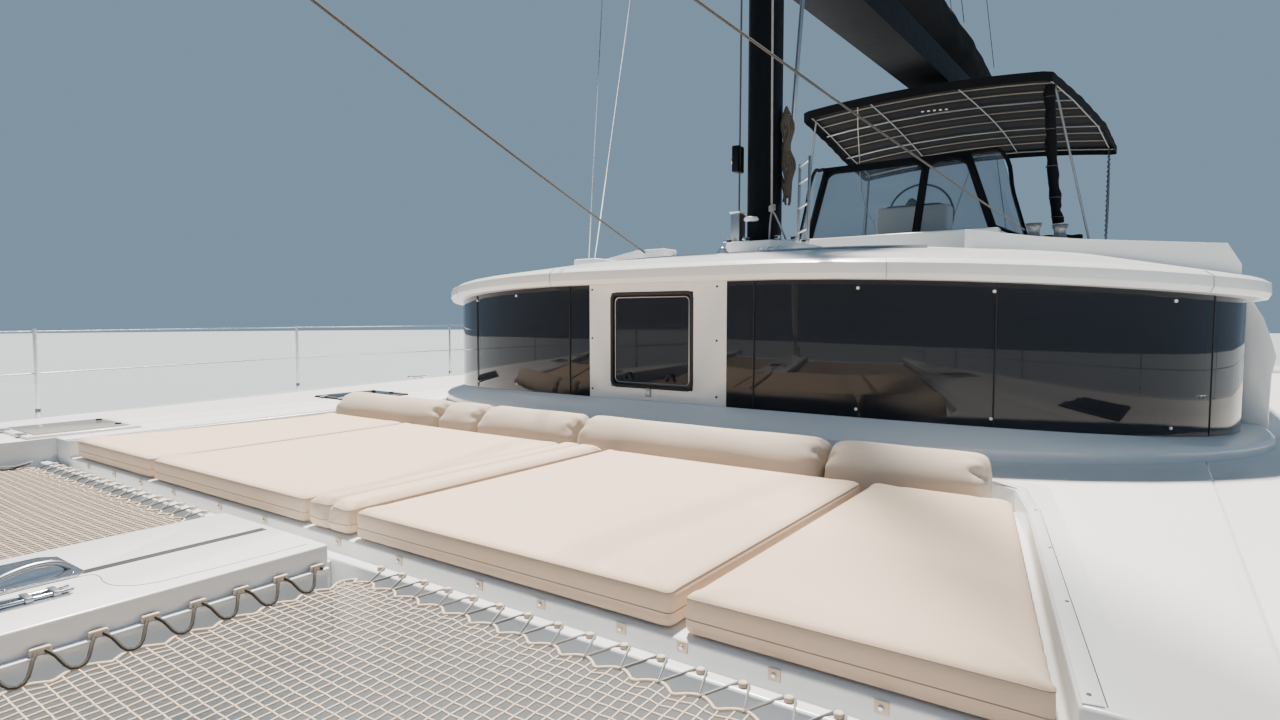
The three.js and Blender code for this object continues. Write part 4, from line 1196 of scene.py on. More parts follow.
# %% Clutch box, light and halyards
box_ends = (1.34, -0.215, PLINTH_TOP - 0.01), (1.45, -0.135, 3.640)
mount(block("mast_clutch_box", *box_ends, GREY_METAL, 0.008))
mount(block("mast_clutch_lid", (1.33, -0.220, 3.640), (1.46, -0.130, 3.652), WHITE, 0.004))
mount(bar("mast_light", (1.515, 0, 3.560), (1.515, 0, 3.590), 0.062, WHITE, 24, 0.050, 0.010))
HALYARDS = [(1.400, -0.165, 9.0), (1.360, -0.185, 12.0), (1.425, -0.150, 15.0)]
for number, (x, y, top) in enumerate(HALYARDS, 1):
    line = [(x, y, 3.66), (x, y + 0.01, 6.0), (x, y + 0.03, top)]
    mount(tube(f"halyard_starboard_{number}", line, 0.006, DARK_ROPE))
jammer = [block("body", (1.35, -0.205, 3.96), (1.46, -0.145, 4.17), MAST_BLACK, 0.012)]
jammer.append(bar("wheel", (1.40, -0.225, 4.06), (1.40, -0.195, 4.06), 0.035, GREY_METAL, 16))
build("mast_jammer", jammer)
grey_line = [(1.475, 0.130, 9.5), (1.475, 0.145, 4.6), (1.475, 0.152, 3.66)]
mount(tube("grey_halyard", grey_line, 0.008, GREY_ROPE))
knot = []
for turn in range(3):
    line = ring((1.475, 0.155, 3.635 + 0.014 * turn), (0.016, 0, 0), (0, 0.020, 0.006))
    knot.append(tube("turn", line, 0.008, GREY_ROPE, closed=True))
for x, y in ((1.50, 0.145), (1.44, 0.255)):
    line = [(1.475, 0.155, 3.64), (1.49, (0.155 + y) / 2, 3.56), (x, y, PLINTH_TOP + 0.008)]
    knot.append(tube("tail", line, 0.007, GREY_ROPE))
build("grey_halyard_knot", knot)

# %% The hank of spare rope
HANK_RADIUS = 0.0085
HANK_LOOPS = 21
GOLDEN_TURN = 2.39996  # radians; it spreads the loops evenly


def hank(name, place, length, spread):
    """Loops of rope hanging side by side, bound at the top."""
    place = Vector(place)
    loops = []
    for k in range(HANK_LOOPS):
        phase = GOLDEN_TURN * k
        out = spread * (0.35 + 0.65 * ((k * 7) % 5) / 4)
        drop = length * (0.82 + 0.18 * ((k * 3) % 4) / 3)
        across = Vector((math.cos(phase), math.sin(phase), 0)) * out
        line = [place + up(0.02)]
        for share in (step / 8 for step in range(1, 8)):
            sway = 0.010 * math.sin(9 * share + phase)
            swell = math.sin(math.pi * min(share * 1.1, 1.0)) ** 0.5
            line.append(place + across * swell + Vector((sway, -sway, -drop * share)))
        line.append(place + across * 0.5 - up(drop))
        loops.append(tube("loop", line, HANK_RADIUS, HANK_ROPE))
    for k in range(5):
        line = ring(place - up(0.05 + k * HANK_RADIUS * 2.1), (0.032, 0, 0), (0, 0.032, 0))
        loops.append(tube("binding", line, HANK_RADIUS, HANK_ROPE, closed=True))
    build(name, loops)


hank("mast_rope_hank_upper", (1.24, 0.160, 4.44), 0.46, 0.058)
hank("mast_rope_hank_lower", (1.23, 0.168, 4.14), 0.44, 0.060)

# %% Mast ladder
LADDER_RAILS = [Vector((0.72, 0.044, 3.290)), Vector((0.98, 0.239, 3.290))]
LADDER_RISE = Vector((-0.01, 0.01, 0.83))
ladder = [bar("rail", foot, foot + LADDER_RISE, 0.013, GREY_METAL) for foot in LADDER_RAILS]
for share in (0.30, 0.55, 0.80, 0.97):
    ladder.append(bar("rung", *(foot + LADDER_RISE * share for foot in LADDER_RAILS), 0.010, GREY_METAL))
build("mast_ladder", ladder)

# %% [markdown]
# ## The bimini
# The flybridge is shaded by one sheet of black canvas laced over bows. Light battens run across under
# it, and its corners are cut round with a short hem that hangs down. A grid is laid over the same two
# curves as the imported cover: one slid along the other, with the cloth dipping a little between bows.

# %% The canopy's curves
CANOPY_ROWS = [(-3.10, 1.50, 5.740), (-4.50, 1.70, 5.770), (-6.00, 1.90, 5.750), (-7.40, 2.00, 5.660)]
BOW_XS = [-3.16, -4.50, -6.00, -7.34]
BATTEN_XS = [-3.55, -3.98, -4.95, -5.42, -6.40, -6.85]
CORNER_RADIUS = 0.09
HEM_ROOM = 0.020  # how far the cloth hangs outside the ends of the bows


def canopy_row(x):
    """Half width and crown height of the canopy at a station, between the rows of the table."""
    for (x0, half0, crown0), (x1, half1, crown1) in zip(CANOPY_ROWS, CANOPY_ROWS[1:]):
        if x >= x1 - TINY:
            t = (x - x0) / (x1 - x0)
            return half0 + (half1 - half0) * t, crown0 + (crown1 - crown0) * t
    return half1, crown1


def canopy_height(x, y):
    return canopy_row(x)[1] - 0.035 * y * y


def canopy_point(x, y):
    """A point of the cloth, which hangs about 12 mm between the bows and their battens."""
    bars = BOW_XS + BATTEN_XS
    gap = min(abs(x - b) for b in bars)
    return Vector((x, y, canopy_height(x, y) - 0.004 - 0.012 * min(1.0, gap / 0.22) ** 2))


# %% Lay the canvas
LENGTHS, WIDTHS = 88, 36
grid(LENGTHS, WIDTHS)
canopy = settle("bimini_canvas", BLACK_CANVAS)
for vertex in canopy.data.vertices:
    u, v = vertex.co.x + 0.5, vertex.co.y * 2
    x = CANOPY_ROWS[0][0] + (CANOPY_ROWS[-1][0] - CANOPY_ROWS[0][0]) * (1 - u)
    end = min(CANOPY_ROWS[0][0] - x, x - CANOPY_ROWS[-1][0], CORNER_RADIUS)
    rounding = math.sqrt(max(0.0, CORNER_RADIUS**2 - (CORNER_RADIUS - end) ** 2)) - CORNER_RADIUS
    vertex.co = canopy_point(x, v * (canopy_row(x)[0] + HEM_ROOM + rounding))
with editing(canopy):
    bpy.ops.mesh.normals_make_consistent(inside=False)
    bpy.ops.mesh.select_all(action="DESELECT")
    bpy.ops.mesh.select_mode(type="EDGE")
    bpy.ops.mesh.select_non_manifold()
    for fold in range(2):
        bpy.ops.mesh.extrude_edges_move(TRANSFORM_OT_translate={"value": (0, 0, -0.055)})
    bpy.ops.mesh.select_mode(type="VERT")
finish_modifier(canopy, "SOLIDIFY", thickness=0.003, offset=-1)
smoothed(canopy, 40)
mount(canopy, replaces=["bimini_cover"])


# %% Battens, lamps and the rolled curtain under it
def under_canopy(x, share, drop):
    """A point under the cloth, out from the middle by a share of the half width."""
    y = canopy_row(x)[0] * share
    return Vector((x, y, canopy_height(x, y) - drop))


battens = []
for x in BATTEN_XS:
    line = [under_canopy(x, 0.97 * k / 4, 0.030) for k in range(-4, 5)]
    battens.append(tube("batten", line, 0.009, BATTEN_TAN))
for share in (-0.42, 0.30):
    battens.append(tube("runner", [under_canopy(x, share, 0.052) for x in BOW_XS], 0.008, FRAME_METAL))
build("bimini_battens", battens)
lamps = []
for k in range(5):
    x, y = -4.25 - 0.02 * k, -0.20 + 0.075 * k
    at = Vector((x, y, canopy_height(x, y) - 0.048))
    lamps.append(bar("lamp", at, at + up(0.012), 0.020, WHITE, 12))
build("bimini_lamps", lamps)
CURTAIN = Vector((-3.34, 1.47, 0))
CURTAIN_TOP, CURTAIN_END = 5.56, 3.95
curtain_line = [(0, 0, CURTAIN_TOP), (-0.05, 0.02, 5.10), (-0.10, 0.05, 4.60), (-0.14, 0.09, 4.20)]
curtain_line.append((-0.16, 0.12, CURTAIN_END))
curtain = tube("rolled_curtain", [CURTAIN + Vector(p) for p in curtain_line], 0.060, BLACK_CANVAS, sides=3)
for vertex in curtain.data.vertices:
    ripple = 0.30 * math.sin(vertex.co.z * 21) + 0.22 * math.sin(vertex.co.z * 57 + vertex.co.y * 60)
    centre = CURTAIN + Vector((-0.08, 0.06, vertex.co.z))
    vertex.co += (vertex.co - centre) * ripple * 0.35
mount(curtain)
ties = []
for z in (5.42, 5.05, 4.62, 4.25, 4.02):
    share = (CURTAIN_TOP - z) / (CURTAIN_TOP - CURTAIN_END)
    line = ring(CURTAIN + Vector((-0.16 * share, 0.12 * share**2, z)), (0.060, 0, 0), (0, 0.060, 0))
    ties.append(tube("tie", line, 0.006, DARK_ROPE, closed=True))
build("curtain_ties", ties)

# %% [markdown]
# The after legs of the frame are wrapped in lashing, and a thin tan cord hangs from the front bow.


# %% Lashings
SIDES = [("port", 1), ("starboard", -1)]


def lashing(name, start, end, turns, radius, lift):
    """A cord wound round a leg from start to end."""
    along = end - start
    turn = along.to_track_quat("Z", "Y").to_matrix()
    line = []
    for k in range(turns * 6 + 1):
        a = k * math.pi / 3
        around = turn @ Vector((lift * math.cos(a), lift * math.sin(a), 0))
        line.append(start + along * (k / (turns * 6)) + around)
    mount(tube(name, line, radius, DARK_ROPE))


for label, side in SIDES:
    foot, top = Vector((-7.02, side * 1.92, 3.72)), Vector((-7.28, side * 1.915, 5.44))
    lashing(f"leg_lashing_{label}", foot, top, 22, 0.006, 0.020)
    strap = [foot + Vector((0.10, 0, 0)), foot.lerp(top, 0.5) + Vector((0.06, side * 0.02, 0)), top]
    mount(tube(f"leg_strap_{label}", strap, 0.009, STEEL))
pull_line = [(-3.20, -0.777, 5.690), (-3.205, -0.775, 5.46), (-3.20, -0.74, 4.95), (-3.21, -0.72, 4.65)]
pull_line += [(-3.17, -0.62, 4.25), (-3.12, -0.45, 3.98), (-3.06, -0.33, 3.86)]
mount(tube("bimini_pull_cord", pull_line, 0.006, TAN_ROPE))

# %% [markdown]
# ## The windscreen
# The helm is sheltered by a clear screen in black canvas-covered posts with a hood over it. The packed
# frame is copied, rounded like padded canvas and given fabric gussets in the corners of each pane.

# %% Frame, gussets and side wings
frame_piece = soften(merged("windscreen_frame", "windscreen_canvas_frame", BLACK_CANVAS), 0.006)
mount(frame_piece, replaces=["windscreen_frame"])
SCREEN_FOOT, SCREEN_HEAD = Vector((-2.48, 0, 3.83)), Vector((-2.93, 0, 4.80))
POSTS = [(-1.15, -1.08), (0.20, 0.20), (1.04, 0.66)]  # y at the foot and at the head


def on_screen(y_foot, y_head, share, ahead=0.012):
    """A point of the screen, share of the way up a line that leans with the posts."""
    place = SCREEN_FOOT.lerp(SCREEN_HEAD, share)
    return Vector((place.x + ahead, y_foot + (y_head - y_foot) * share, place.z))


GUSSET = [(0, 0.70), (0.12, 0.84), (0.45, 0.92), (1, 0.945)]  # share of its reach, and height
gussets = []
for left, right in zip(POSTS, POSTS[1:]):
    for (foot, head), reach in ((left, 0.20), (right, -0.20)):
        line = [on_screen(foot + reach * out, head + reach * out, share) for out, share in GUSSET]
        gussets.append(tube("gusset", line, 0.022, BLACK_CANVAS, sides=2))
build("windscreen_gussets", gussets)
# Where each wing meets the screen at its foot and head, and its after edge's foot and head
WINGS = [("starboard", -1.16, -1.10, -1.60, -1.42), ("port", 1.06, 0.68, 1.30, 0.98)]
for label, foot, head, aft_foot, aft_head in WINGS:
    a, b = on_screen(foot, head, 0.02), on_screen(foot, head, 0.96)
    c, d = Vector((-3.30, aft_head, 4.84)), Vector((-3.16, aft_foot, 3.76))
    edge = [a, a.lerp(b, 0.5), b, b.lerp(c, 0.5) + up(0.03), c, c.lerp(d, 0.5), d]
    wing = [tube("edge", edge, 0.026, BLACK_CANVAS, sides=2)]
    wing.append(tube("foot", [a, d], 0.022, BLACK_CANVAS, smooth=False, sides=2))
    build(f"windscreen_wing_{label}", wing)
    grid(6, 6)
    pane = settle(f"windscreen_wing_pane_{label}", BLACK_CANVAS)
    for vertex in pane.data.vertices:
        u, v = vertex.co.x + 0.5, vertex.co.y + 0.5
        swell = Vector((0, math.copysign(0.03, foot) * math.sin(math.pi * u), 0))
        vertex.co = a.lerp(d, u).lerp(b.lerp(c, u), v) + swell
    finish_modifier(pane, "SOLIDIFY", thickness=0.002, offset=0)
    mount(pane)

# %% [markdown]
# ## The helm
# The wheel is a steel ring with thin spokes, and its rim is stitched in leather. The console carries a
# dark instrument face with blank dials and a compass dome.

# %% Wheel, instruments and compass
WHEEL = Vector((-3.85, -0.10, 4.20))
WHEEL_RADIUS = 0.43
wide, tall = Vector((0, WHEEL_RADIUS, 0)), up(WHEEL_RADIUS)
rim_line = ring(WHEEL, wide, tall, [k * math.pi / 8 for k in range(16)])
wheel = [tube("rim", rim_line, 0.015, BLACK_RUBBER, closed=True, sides=3)]
for tip in ring(WHEEL, wide, tall, [math.pi / 2 + k * 2 * math.pi / 5 for k in range(5)]):
    wheel.append(bar("spoke", WHEEL + Vector((0.03, 0, 0)), tip, 0.007, STEEL, 10))
wheel.append(bar("hub", WHEEL - Vector((0.03, 0, 0)), WHEEL + Vector((0.06, 0, 0)), 0.055, STEEL, 24))
mount(joined("steering_wheel", wheel), "helm_wheel", replaces=["helm_wheel"])
low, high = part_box("helm_console")
dash_ends = (low.x + 0.04, low.y + 0.10, high.z - 0.004), (high.x - 0.12, high.y - 0.10, high.z + 0.035)
instruments = [block("dash", *dash_ends, BLACK_RUBBER, 0.012)]
for k in range(4):
    y = low.y + 0.24 + k * (high.y - low.y - 0.48) / 3
    at = Vector(((low.x + high.x) / 2 - 0.04, y, high.z + 0.030))
    instruments.append(bar("dial", at, at + up(0.014), 0.055, STEEL, 24))
    instruments.append(bar("glass", at + up(0.010), at + up(0.018), 0.048, BLACK_RUBBER, 24))
build("helm_instruments", instruments)
at = Vector((high.x - 0.06, (low.y + high.y) / 2, high.z))
compass = [bar("bowl", at, at + up(0.05), 0.085, BLACK_RUBBER, 24, 0.075)]
compass.append(bar("dome", at + up(0.045), at + up(0.11), 0.070, DARK_GLASS, 24, 0.030, 0.03))
build("helm_compass", compass)

# %% [markdown]
# ## Winches
# A winch is a waisted steel drum on a skirt, with a toothed band that grips the rope, a grooved jaw and
# a socket on top. Its profile is a few rings of points that spin closes into the drum.

# %% Spin a winch
# The radius and the height of each ring, from the foot up
WINCH = [(0.085, 0.0), (0.085, 0.028), (0.070, 0.036), (0.058, 0.060), (0.055, 0.095), (0.062, 0.130)]
WINCH += [(0.076, 0.142), (0.076, 0.150), (0.066, 0.153), (0.066, 0.160), (0.080, 0.164), (0.078, 0.176)]
WINCH += [(0.030, 0.182), (0.022, 0.178)]
WINCH_PAD = [(0.10, -0.25), (0.10, -0.012), (0.092, 0.0)]


def spun(name, rings, material, sides=28):
    """A turned piece: a profile of radius and height swept once round the upright axis."""
    fresh()
    radius, height = rings[0]
    foot = up(height)
    bpy.ops.mesh.primitive_circle_add(vertices=sides, radius=radius, fill_type="NGON", location=foot)
    piece = settle(name, material)
    with editing(piece):
        for (radius, height), (wider, higher) in zip(rings, rings[1:]):
            bpy.ops.mesh.extrude_region_move(TRANSFORM_OT_translate={"value": (0, 0, higher - height)})
            share = wider / radius
            bpy.ops.transform.resize(value=(share, share, 1), center_override=(0, 0, 0))
        bpy.ops.mesh.select_all(action="SELECT")
        bpy.ops.mesh.normals_make_consistent(inside=False)
    return smoothed(piece, 35)


WINCHES = [("port_front", -2.10, 1.50), ("port_aft", -2.35, 1.72), ("starboard_front", -2.10, -1.62)]
for label, x, y in WINCHES:
    base = Matrix.Translation((x, y, max(3.630, roof_point(x, y).z)))
    winch = spun(f"winch_flybridge_{label}", WINCH, FRAME_METAL)
    pad = spun(f"winch_pad_flybridge_{label}", WINCH_PAD, WHITE)
    for piece, slot in ((winch, "steel"), (pad, "gelcoat")):
        piece.data.transform(base)
        mount(piece)

# %% [markdown]
# ## Sails and boom
# The mainsail lies folded in a long black bag on the boom. The bag is a lofted shell that sags: the
# imported solid is copied, cut finer, and pushed in and out by slow waves where the cloth hangs from its
# lazy lines.

# %% The bag
bag = merged("sail_bag", "boom_sail_bag", BLACK_CANVAS)
with editing(bag):
    bpy.ops.mesh.quads_convert_to_tris()
voxelled(bag, 0.035)
HANGERS = 1.15  # metres between the lines that hold the bag up
for vertex in bag.data.vertices:
    x, y, z = vertex.co
    fold = 0.5 * math.sin(x * 2 * math.pi / HANGERS + 0.6 * math.sin(z * 5))
    fold += 0.25 * math.sin(x * 9 + z * 13)
    drawn = 0.018 * (fold - 0.7) + 0.010 * math.sin(z * 23 + x * 3)
    if abs(y) > 0.03:
        vertex.co.y += math.copysign(drawn, y)
eased(bag, 3)
mount(bag, "main_boom", replaces=["sail_bag"])
print("bag faces:", len(bag.data.polygons))

# %% The furled headsail and its foot
furled = merged("headsail_furled", "furled_headsail", SAILCLOTH)
with editing(furled):
    bpy.ops.mesh.subdivide(number_cuts=3)
mount(smoothed(furled, 50), replaces=["headsail_furled"])
STAY_LOW, STAY_TOP = Vector((8.46, 0, 2.07)), Vector((1.43, 0, 26.50))
DRUM_Z = 2.28
DRUM = [(0.12, 0.0), (0.12, 0.012), (0.07, 0.02), (0.07, 0.10), (0.12, 0.108), (0.12, 0.12), (0.04, 0.15)]
DRUM.append((0.035, 0.34))
stay = STAY_TOP - STAY_LOW
drum = spun("furler_drum", DRUM, GREY_METAL)
drum.data.transform(facing(stay, STAY_LOW + stay * (DRUM_Z - STAY_LOW.z) / stay.z))
mount(drum)

# %% [markdown]
# ## Running rigging that the photo shows
# Two headsail sheets come down from the clew of the furled sail, one to its block on the roof and one
# to the port winch. They are pulled taut, so they are straight apart from a slight sag.


# %% Taut lines
def sagging(start, end, sag):
    """Nine points from start to end; the middle one hangs lower by the sag."""
    start, end = Vector(start), Vector(end)
    return [start.lerp(end, s) - up(sag * 4 * s * (1 - s)) for s in (k / 8 for k in range(9))]


CLEW = Vector((7.63, 0.03, 4.95))
# Where on the clew each sheet starts, where it ends and how far it sags
SHEETS = [
    ("starboard", (0, 0, 0), roof_point(1.27, -1.10, 0.05), 0.05),
    ("port", (0.02, 0.05, 0.02), (-2.05, 1.42, 3.74), 0.06),
]
for label, start, end, sag in SHEETS:
    line = sagging(CLEW + Vector(start), end, sag)
    mount(tube(f"headsail_sheet_{label}", line, 0.0080, DARK_ROPE))
clew_knot = spun("clew_knot", [(0.010, -0.05), (0.045, -0.03), (0.050, 0.02), (0.015, 0.06)], DARK_ROPE, 12)
clew_knot.data.transform(Matrix.Translation(CLEW))
mount(clew_knot)
# Where each lazy line meets the bag, and how high on the mast it ends
LAZY_LINES = [(-1.6, 0.33, 6.78, 14.0), (-4.2, 0.33, 6.81614, 15.5), (-6.8, 0.28, 6.93756, 17.0)]
for number, (x, y, z, top) in enumerate(LAZY_LINES, 1):
    for label, side in SIDES:
        low, high = Vector((x, side * y, z)), Vector((1.106, side * 0.075, top))
        lazy = tube(f"lazy_line_{number}_{label}", sagging(low, high, 0.05), 0.005, DARK_ROPE)
        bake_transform(lazy)
for label, side in SIDES:
    upper, lower = Vector((-7.95, side * 0.12, 6.02)), Vector((-6.95, side * 0.60, 3.66))
    mainsheet = tube(f"mainsheet_{label}", [upper.lerp(lower, k / 12) for k in range(13)], 0.007, DARK_ROPE)
    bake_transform(mainsheet)
mount(bar("boom_strut", (1.02, 0.11, 4.30), (0.98, 0.19, 5.60), 0.018, GREY_METAL, 14))

# %% [markdown]
# ## Fairings and deck hatches
# Outside the after end of the front glass a white fairing fills the step between the wall and the
# brow. It could be part of the coachroof's moulding; it is a thin lofted plate here, so that its
# rounded edge shows. The deck hatches are acrylic lenses in cast frames that lie flush on the deck.

# %% Glass fairings
FAIRING = [(3.054, 2.930), (3.115, 2.814), (3.157, 2.680), (3.184, 2.577), (3.166, 2.466), (3.162, 2.313)]
FAIRING.append((3.161, 2.103))
FAIRING_INSIDE = 3.030  # a slot is left beside the glass
FAIRING_AFT, FAIRING_FORE = -0.5, 0.8
section = FAIRING + [(FAIRING_INSIDE, FAIRING[-1][1]), (FAIRING_INSIDE, FAIRING[0][1])]
fairing = slab("glass_fairing_port", section, FAIRING_AFT, FAIRING_FORE, WHITE, 0.008)
fairing.data.transform(Matrix(((0, 0, 1, 0), (1, 0, 0, 0), (0, 1, 0, 0), (0, 0, 0, 1))))
both(fairing)

# %% Deck hatches
LENS = tinted("smoked_lens", 1.0, (0.20, 0.185, 0.165))
HATCHES = [
    ("forward", (4.64, 2.83), (5.24, 3.43), WHITE, LENS),
    ("side", (2.38, 3.05), (2.98, 3.60), BLACK_RUBBER, DARK_GLASS),
]
for label, (x0, y0), (x1, y1), rim, lens in HATCHES:
    ends = (x0, y0, DECK_LEVEL - 0.002), (x1, y1, DECK_LEVEL + 0.016)
    hatch = [block("frame", *ends, rim, 0.006, 3)]
    ends = (x0 + 0.05, y0 + 0.05, DECK_LEVEL), (x1 - 0.05, y1 - 0.05, DECK_LEVEL + 0.021)
    hatch.append(block("lens", *ends, lens, 0.004))
    for y in (y0 + 0.14, y1 - 0.14):
        ends = (x1 - 0.035, y - 0.03, DECK_LEVEL + 0.010), (x1 + 0.012, y + 0.03, DECK_LEVEL + 0.024)
        hatch.append(block("hinge", *ends, GREY_METAL, 0.003))
        ends = ((x0 + 0.085, y, DECK_LEVEL + z) for z in (0.018, 0.030))
        hatch.append(bar("knob", *ends, 0.018, BLACK_RUBBER, 16))
    both(joined(f"deck_hatch_{label}_port", hatch))

# %% [markdown]
# ## Other cushions
# The helm bench and the cockpit seats carry foam cushions like the sunbed's, thinner and
# squarer. Each is a block with rounded edges, remeshed and blown up by cloth under pressure.


# %% A cushion between two corners
def seat_pad(name, low, high, material):
    pad = block(name, low, high, material, 0.001, 1)
    voxelled(pad, 0.020, 0.028)
    inflate(pad, 0.008)
    eased(pad)
    mount(pad)


# %% Helm bench and cockpit cushions
low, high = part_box("helm_seat")
y0, y1 = low.y + 0.03, high.y - 0.03
base_ends = (low.x + 0.03, y0, low.z), (high.x - 0.04, y1, low.z + 0.34)
mount(block("helm_bench_base", *base_ends, WHITE, 0.03, 3), replaces=["helm_seat"])
back_x, seat_z = low.x + 0.14, low.z + 0.345
SEAT_PADS = [
    ("helm_seat_pad", (back_x + 0.01, y0, seat_z), (high.x - 0.01, y1, seat_z + 0.11), BLACK_CANVAS),
    ("helm_seat_back", (low.x + 0.01, y0, seat_z), (back_x, y1, high.z - 0.01), BLACK_CANVAS),
    ("cockpit_pad_aft", (-6.77, -1.93, 1.756), (-6.18, -1.18, 1.846), UPHOLSTERY),
    ("cockpit_pad_side", (-6.77, -2.57, 1.756), (-4.23, -1.97, 1.846), UPHOLSTERY),
]
for row in SEAT_PADS:
    seat_pad(*row)
print("seat pads:", len(SEAT_PADS))

# %% [markdown]
# ## On the flybridge's forward edge
# A low padded coaming cover of black canvas runs outboard from each side of the windscreen. The cover
# is a soft roll laid along the coaming.

# %% Coaming covers
COVER_XZ = [(-2.50, 3.664), (-2.50, 3.672), (-2.50, 3.670), (-2.52, 3.662)]
COVER_YS = {"port": [1.16, 1.42, 1.68, 1.92], "starboard": [-1.30, -1.52, -1.72, -1.92]}
for label, ys in COVER_YS.items():
    line = [(x, y, z) for y, (x, z) in zip(ys, COVER_XZ)]
    cover = tube(f"coaming_cover_{label}", line, 0.044, BLACK_CANVAS, sides=4)
    voxelled(cover, 0.014)
    for vertex in cover.data.vertices:
        vertex.co.z += 0.004 * math.sin(vertex.co.y * 44 + vertex.co.x * 20)
    eased(cover)
    mount(cover)

# %% [markdown]
# ## Rails, cleats and hull windows
# Each stanchion stands in a round socket with a flange. Mooring cleats are two feet with a bar that
# runs past both. The hull's windows are long dark strips let into the topsides: each is cut out of a
# copy of the hull's own skin, so that it follows its curve.

# %% Stanchion sockets and mooring cleats
STANCHION_XS = [9.20, 7.90, 6.60, 4.75, 2.41, 0.30, -1.80, -3.90, -5.60, -6.90]
EDGE_DECK = 2.030


def hull_outside(x):
    """Outboard side of the hull at the deck edge."""
    aft = 0.15 * max(0.0, (-x - 4.0) / 5.45) ** 2
    return 5.00 - aft - 1.56 * max(0.0, (x - 2.0) / 7.45) ** 1.1


flange = bar("flange", up(-0.002), up(0.008), 0.040, STEEL, 20)
socket = joined("socket", [flange, bar("sleeve", up(0.006), up(0.090), 0.019, STEEL, 16)])
places = [(x, hull_outside(x) - 0.08, EDGE_DECK) for x in STANCHION_XS]
both(repeated("stanchion_sockets_port", socket, places))
cleat = []
for side in (1, -1):
    ends = (side * 0.055, 0, -0.002), (side * 0.045, 0, 0.055)
    cleat.append(bar("foot", *ends, 0.018, STEEL, 14, 0.013))
horns = [(-0.150, 0, 0.066), (-0.075, 0, 0.058), (0.075, 0, 0.058), (0.150, 0, 0.066)]
cleat.append(tube("bar", horns, 0.013, STEEL, sides=3))
cleat.append(block("plate", (-0.085, -0.028, -0.002), (0.085, 0.028, 0.006), STEEL, 0.003))
places = [(x, hull_outside(x) - 0.20, EDGE_DECK) for x in (8.60, 0.90, -6.30)]
both(repeated("mooring_cleats_port", joined("cleat", cleat), places))

# %% Hull windows
HULL_WINDOWS = [("forward", 2.2, 3.9), ("middle", -1.2, 1.4), ("after", -4.6, -2.4)]
WINDOW_BAND = (1.20, 1.55)
INBOARD = 3.90  # the outboard skin lies beyond this


def skin_patch(name, x0, x1):
    """A piece of the port hull's outboard skin between two stations, as high as the window band."""
    patch = duplicate(moulded["hull_port"])
    cuts = [((x0, 0, 0), (-1, 0, 0)), ((x1, 0, 0), (1, 0, 0)), ((0, 0, WINDOW_BAND[0]), (0, 0, -1))]
    cuts += [((0, 0, WINDOW_BAND[1]), (0, 0, 1)), ((0, INBOARD, 0), (0, -1, 0))]
    with editing(patch):
        for place, normal in cuts:
            bpy.ops.mesh.select_all(action="SELECT")
            bpy.ops.mesh.bisect(plane_co=place, plane_no=normal, clear_outer=True)
    patch.name = name
    dress(patch, DARK_GLASS)
    finish_modifier(patch, "SOLIDIFY", thickness=0.006, offset=0.6)
    return smoothed(patch, 30)


for label, x0, x1 in HULL_WINDOWS:
    both(skin_patch(f"hull_window_{label}_port", x0, x1))
print("hull windows:", 2 * len(HULL_WINDOWS))

# %% [markdown]
# ## Sterns, door and masthead
# The stern steps carry dark non-slip treads, and a bathing ladder lies folded on the port platform. The
# saloon door's glass stands in a white frame with a recessed pull. The masthead has its sheave box, a
# wind vane and an all-round light. An anchor lies in a roller under the spine.

# %% Step treads and the bathing ladder
TREAD_GREY = painted("tread_rubber", (0.10, 0.105, 0.11), 0.75)
TREADS = [(-9.26, -8.54, 0.450), (-8.47, -8.18, 0.780), (-8.12, -7.83, 1.110), (-7.77, -7.48, 1.440)]
TREADS.append((-7.42, -7.13, 1.770))
treads = []
for x0, x1, z in TREADS:
    treads.append(block("tread", (x0, 3.06, z - 0.002), (x1, 4.48, z + 0.006), TREAD_GREY, 0.003))
both(joined("stern_treads_port", treads))
PLATFORM = 0.450
ladder = []
for y in (3.30, 3.66):
    rail = [(-9.40, y, PLATFORM + 0.034), (-9.10, y, PLATFORM + 0.030), (-8.66, y, PLATFORM + 0.024)]
    ladder.append(tube("rail", rail, 0.016, STEEL, sides=3))
    ends = (-9.43, y - 0.030, PLATFORM), (-9.35, y + 0.030, PLATFORM + 0.050)
    ladder.append(block("hinge", *ends, STEEL, 0.004))
for x in (-9.20, -8.98, -8.76):
    ends = (x - 0.03, 3.30, PLATFORM + 0.016), (x + 0.03, 3.66, PLATFORM + 0.040)
    ladder.append(block("rung", *ends, TREAD_GREY, 0.006))
build("bathing_ladder", ladder)


# %% Door frame and pull, and the window's frame
def framed(x_back, x_front, bars):
    """White bars, each between two corners given by y and z."""
    return [block("bar", (x_back, *low), (x_front, *high), WHITE, 0.002) for low, high in bars]


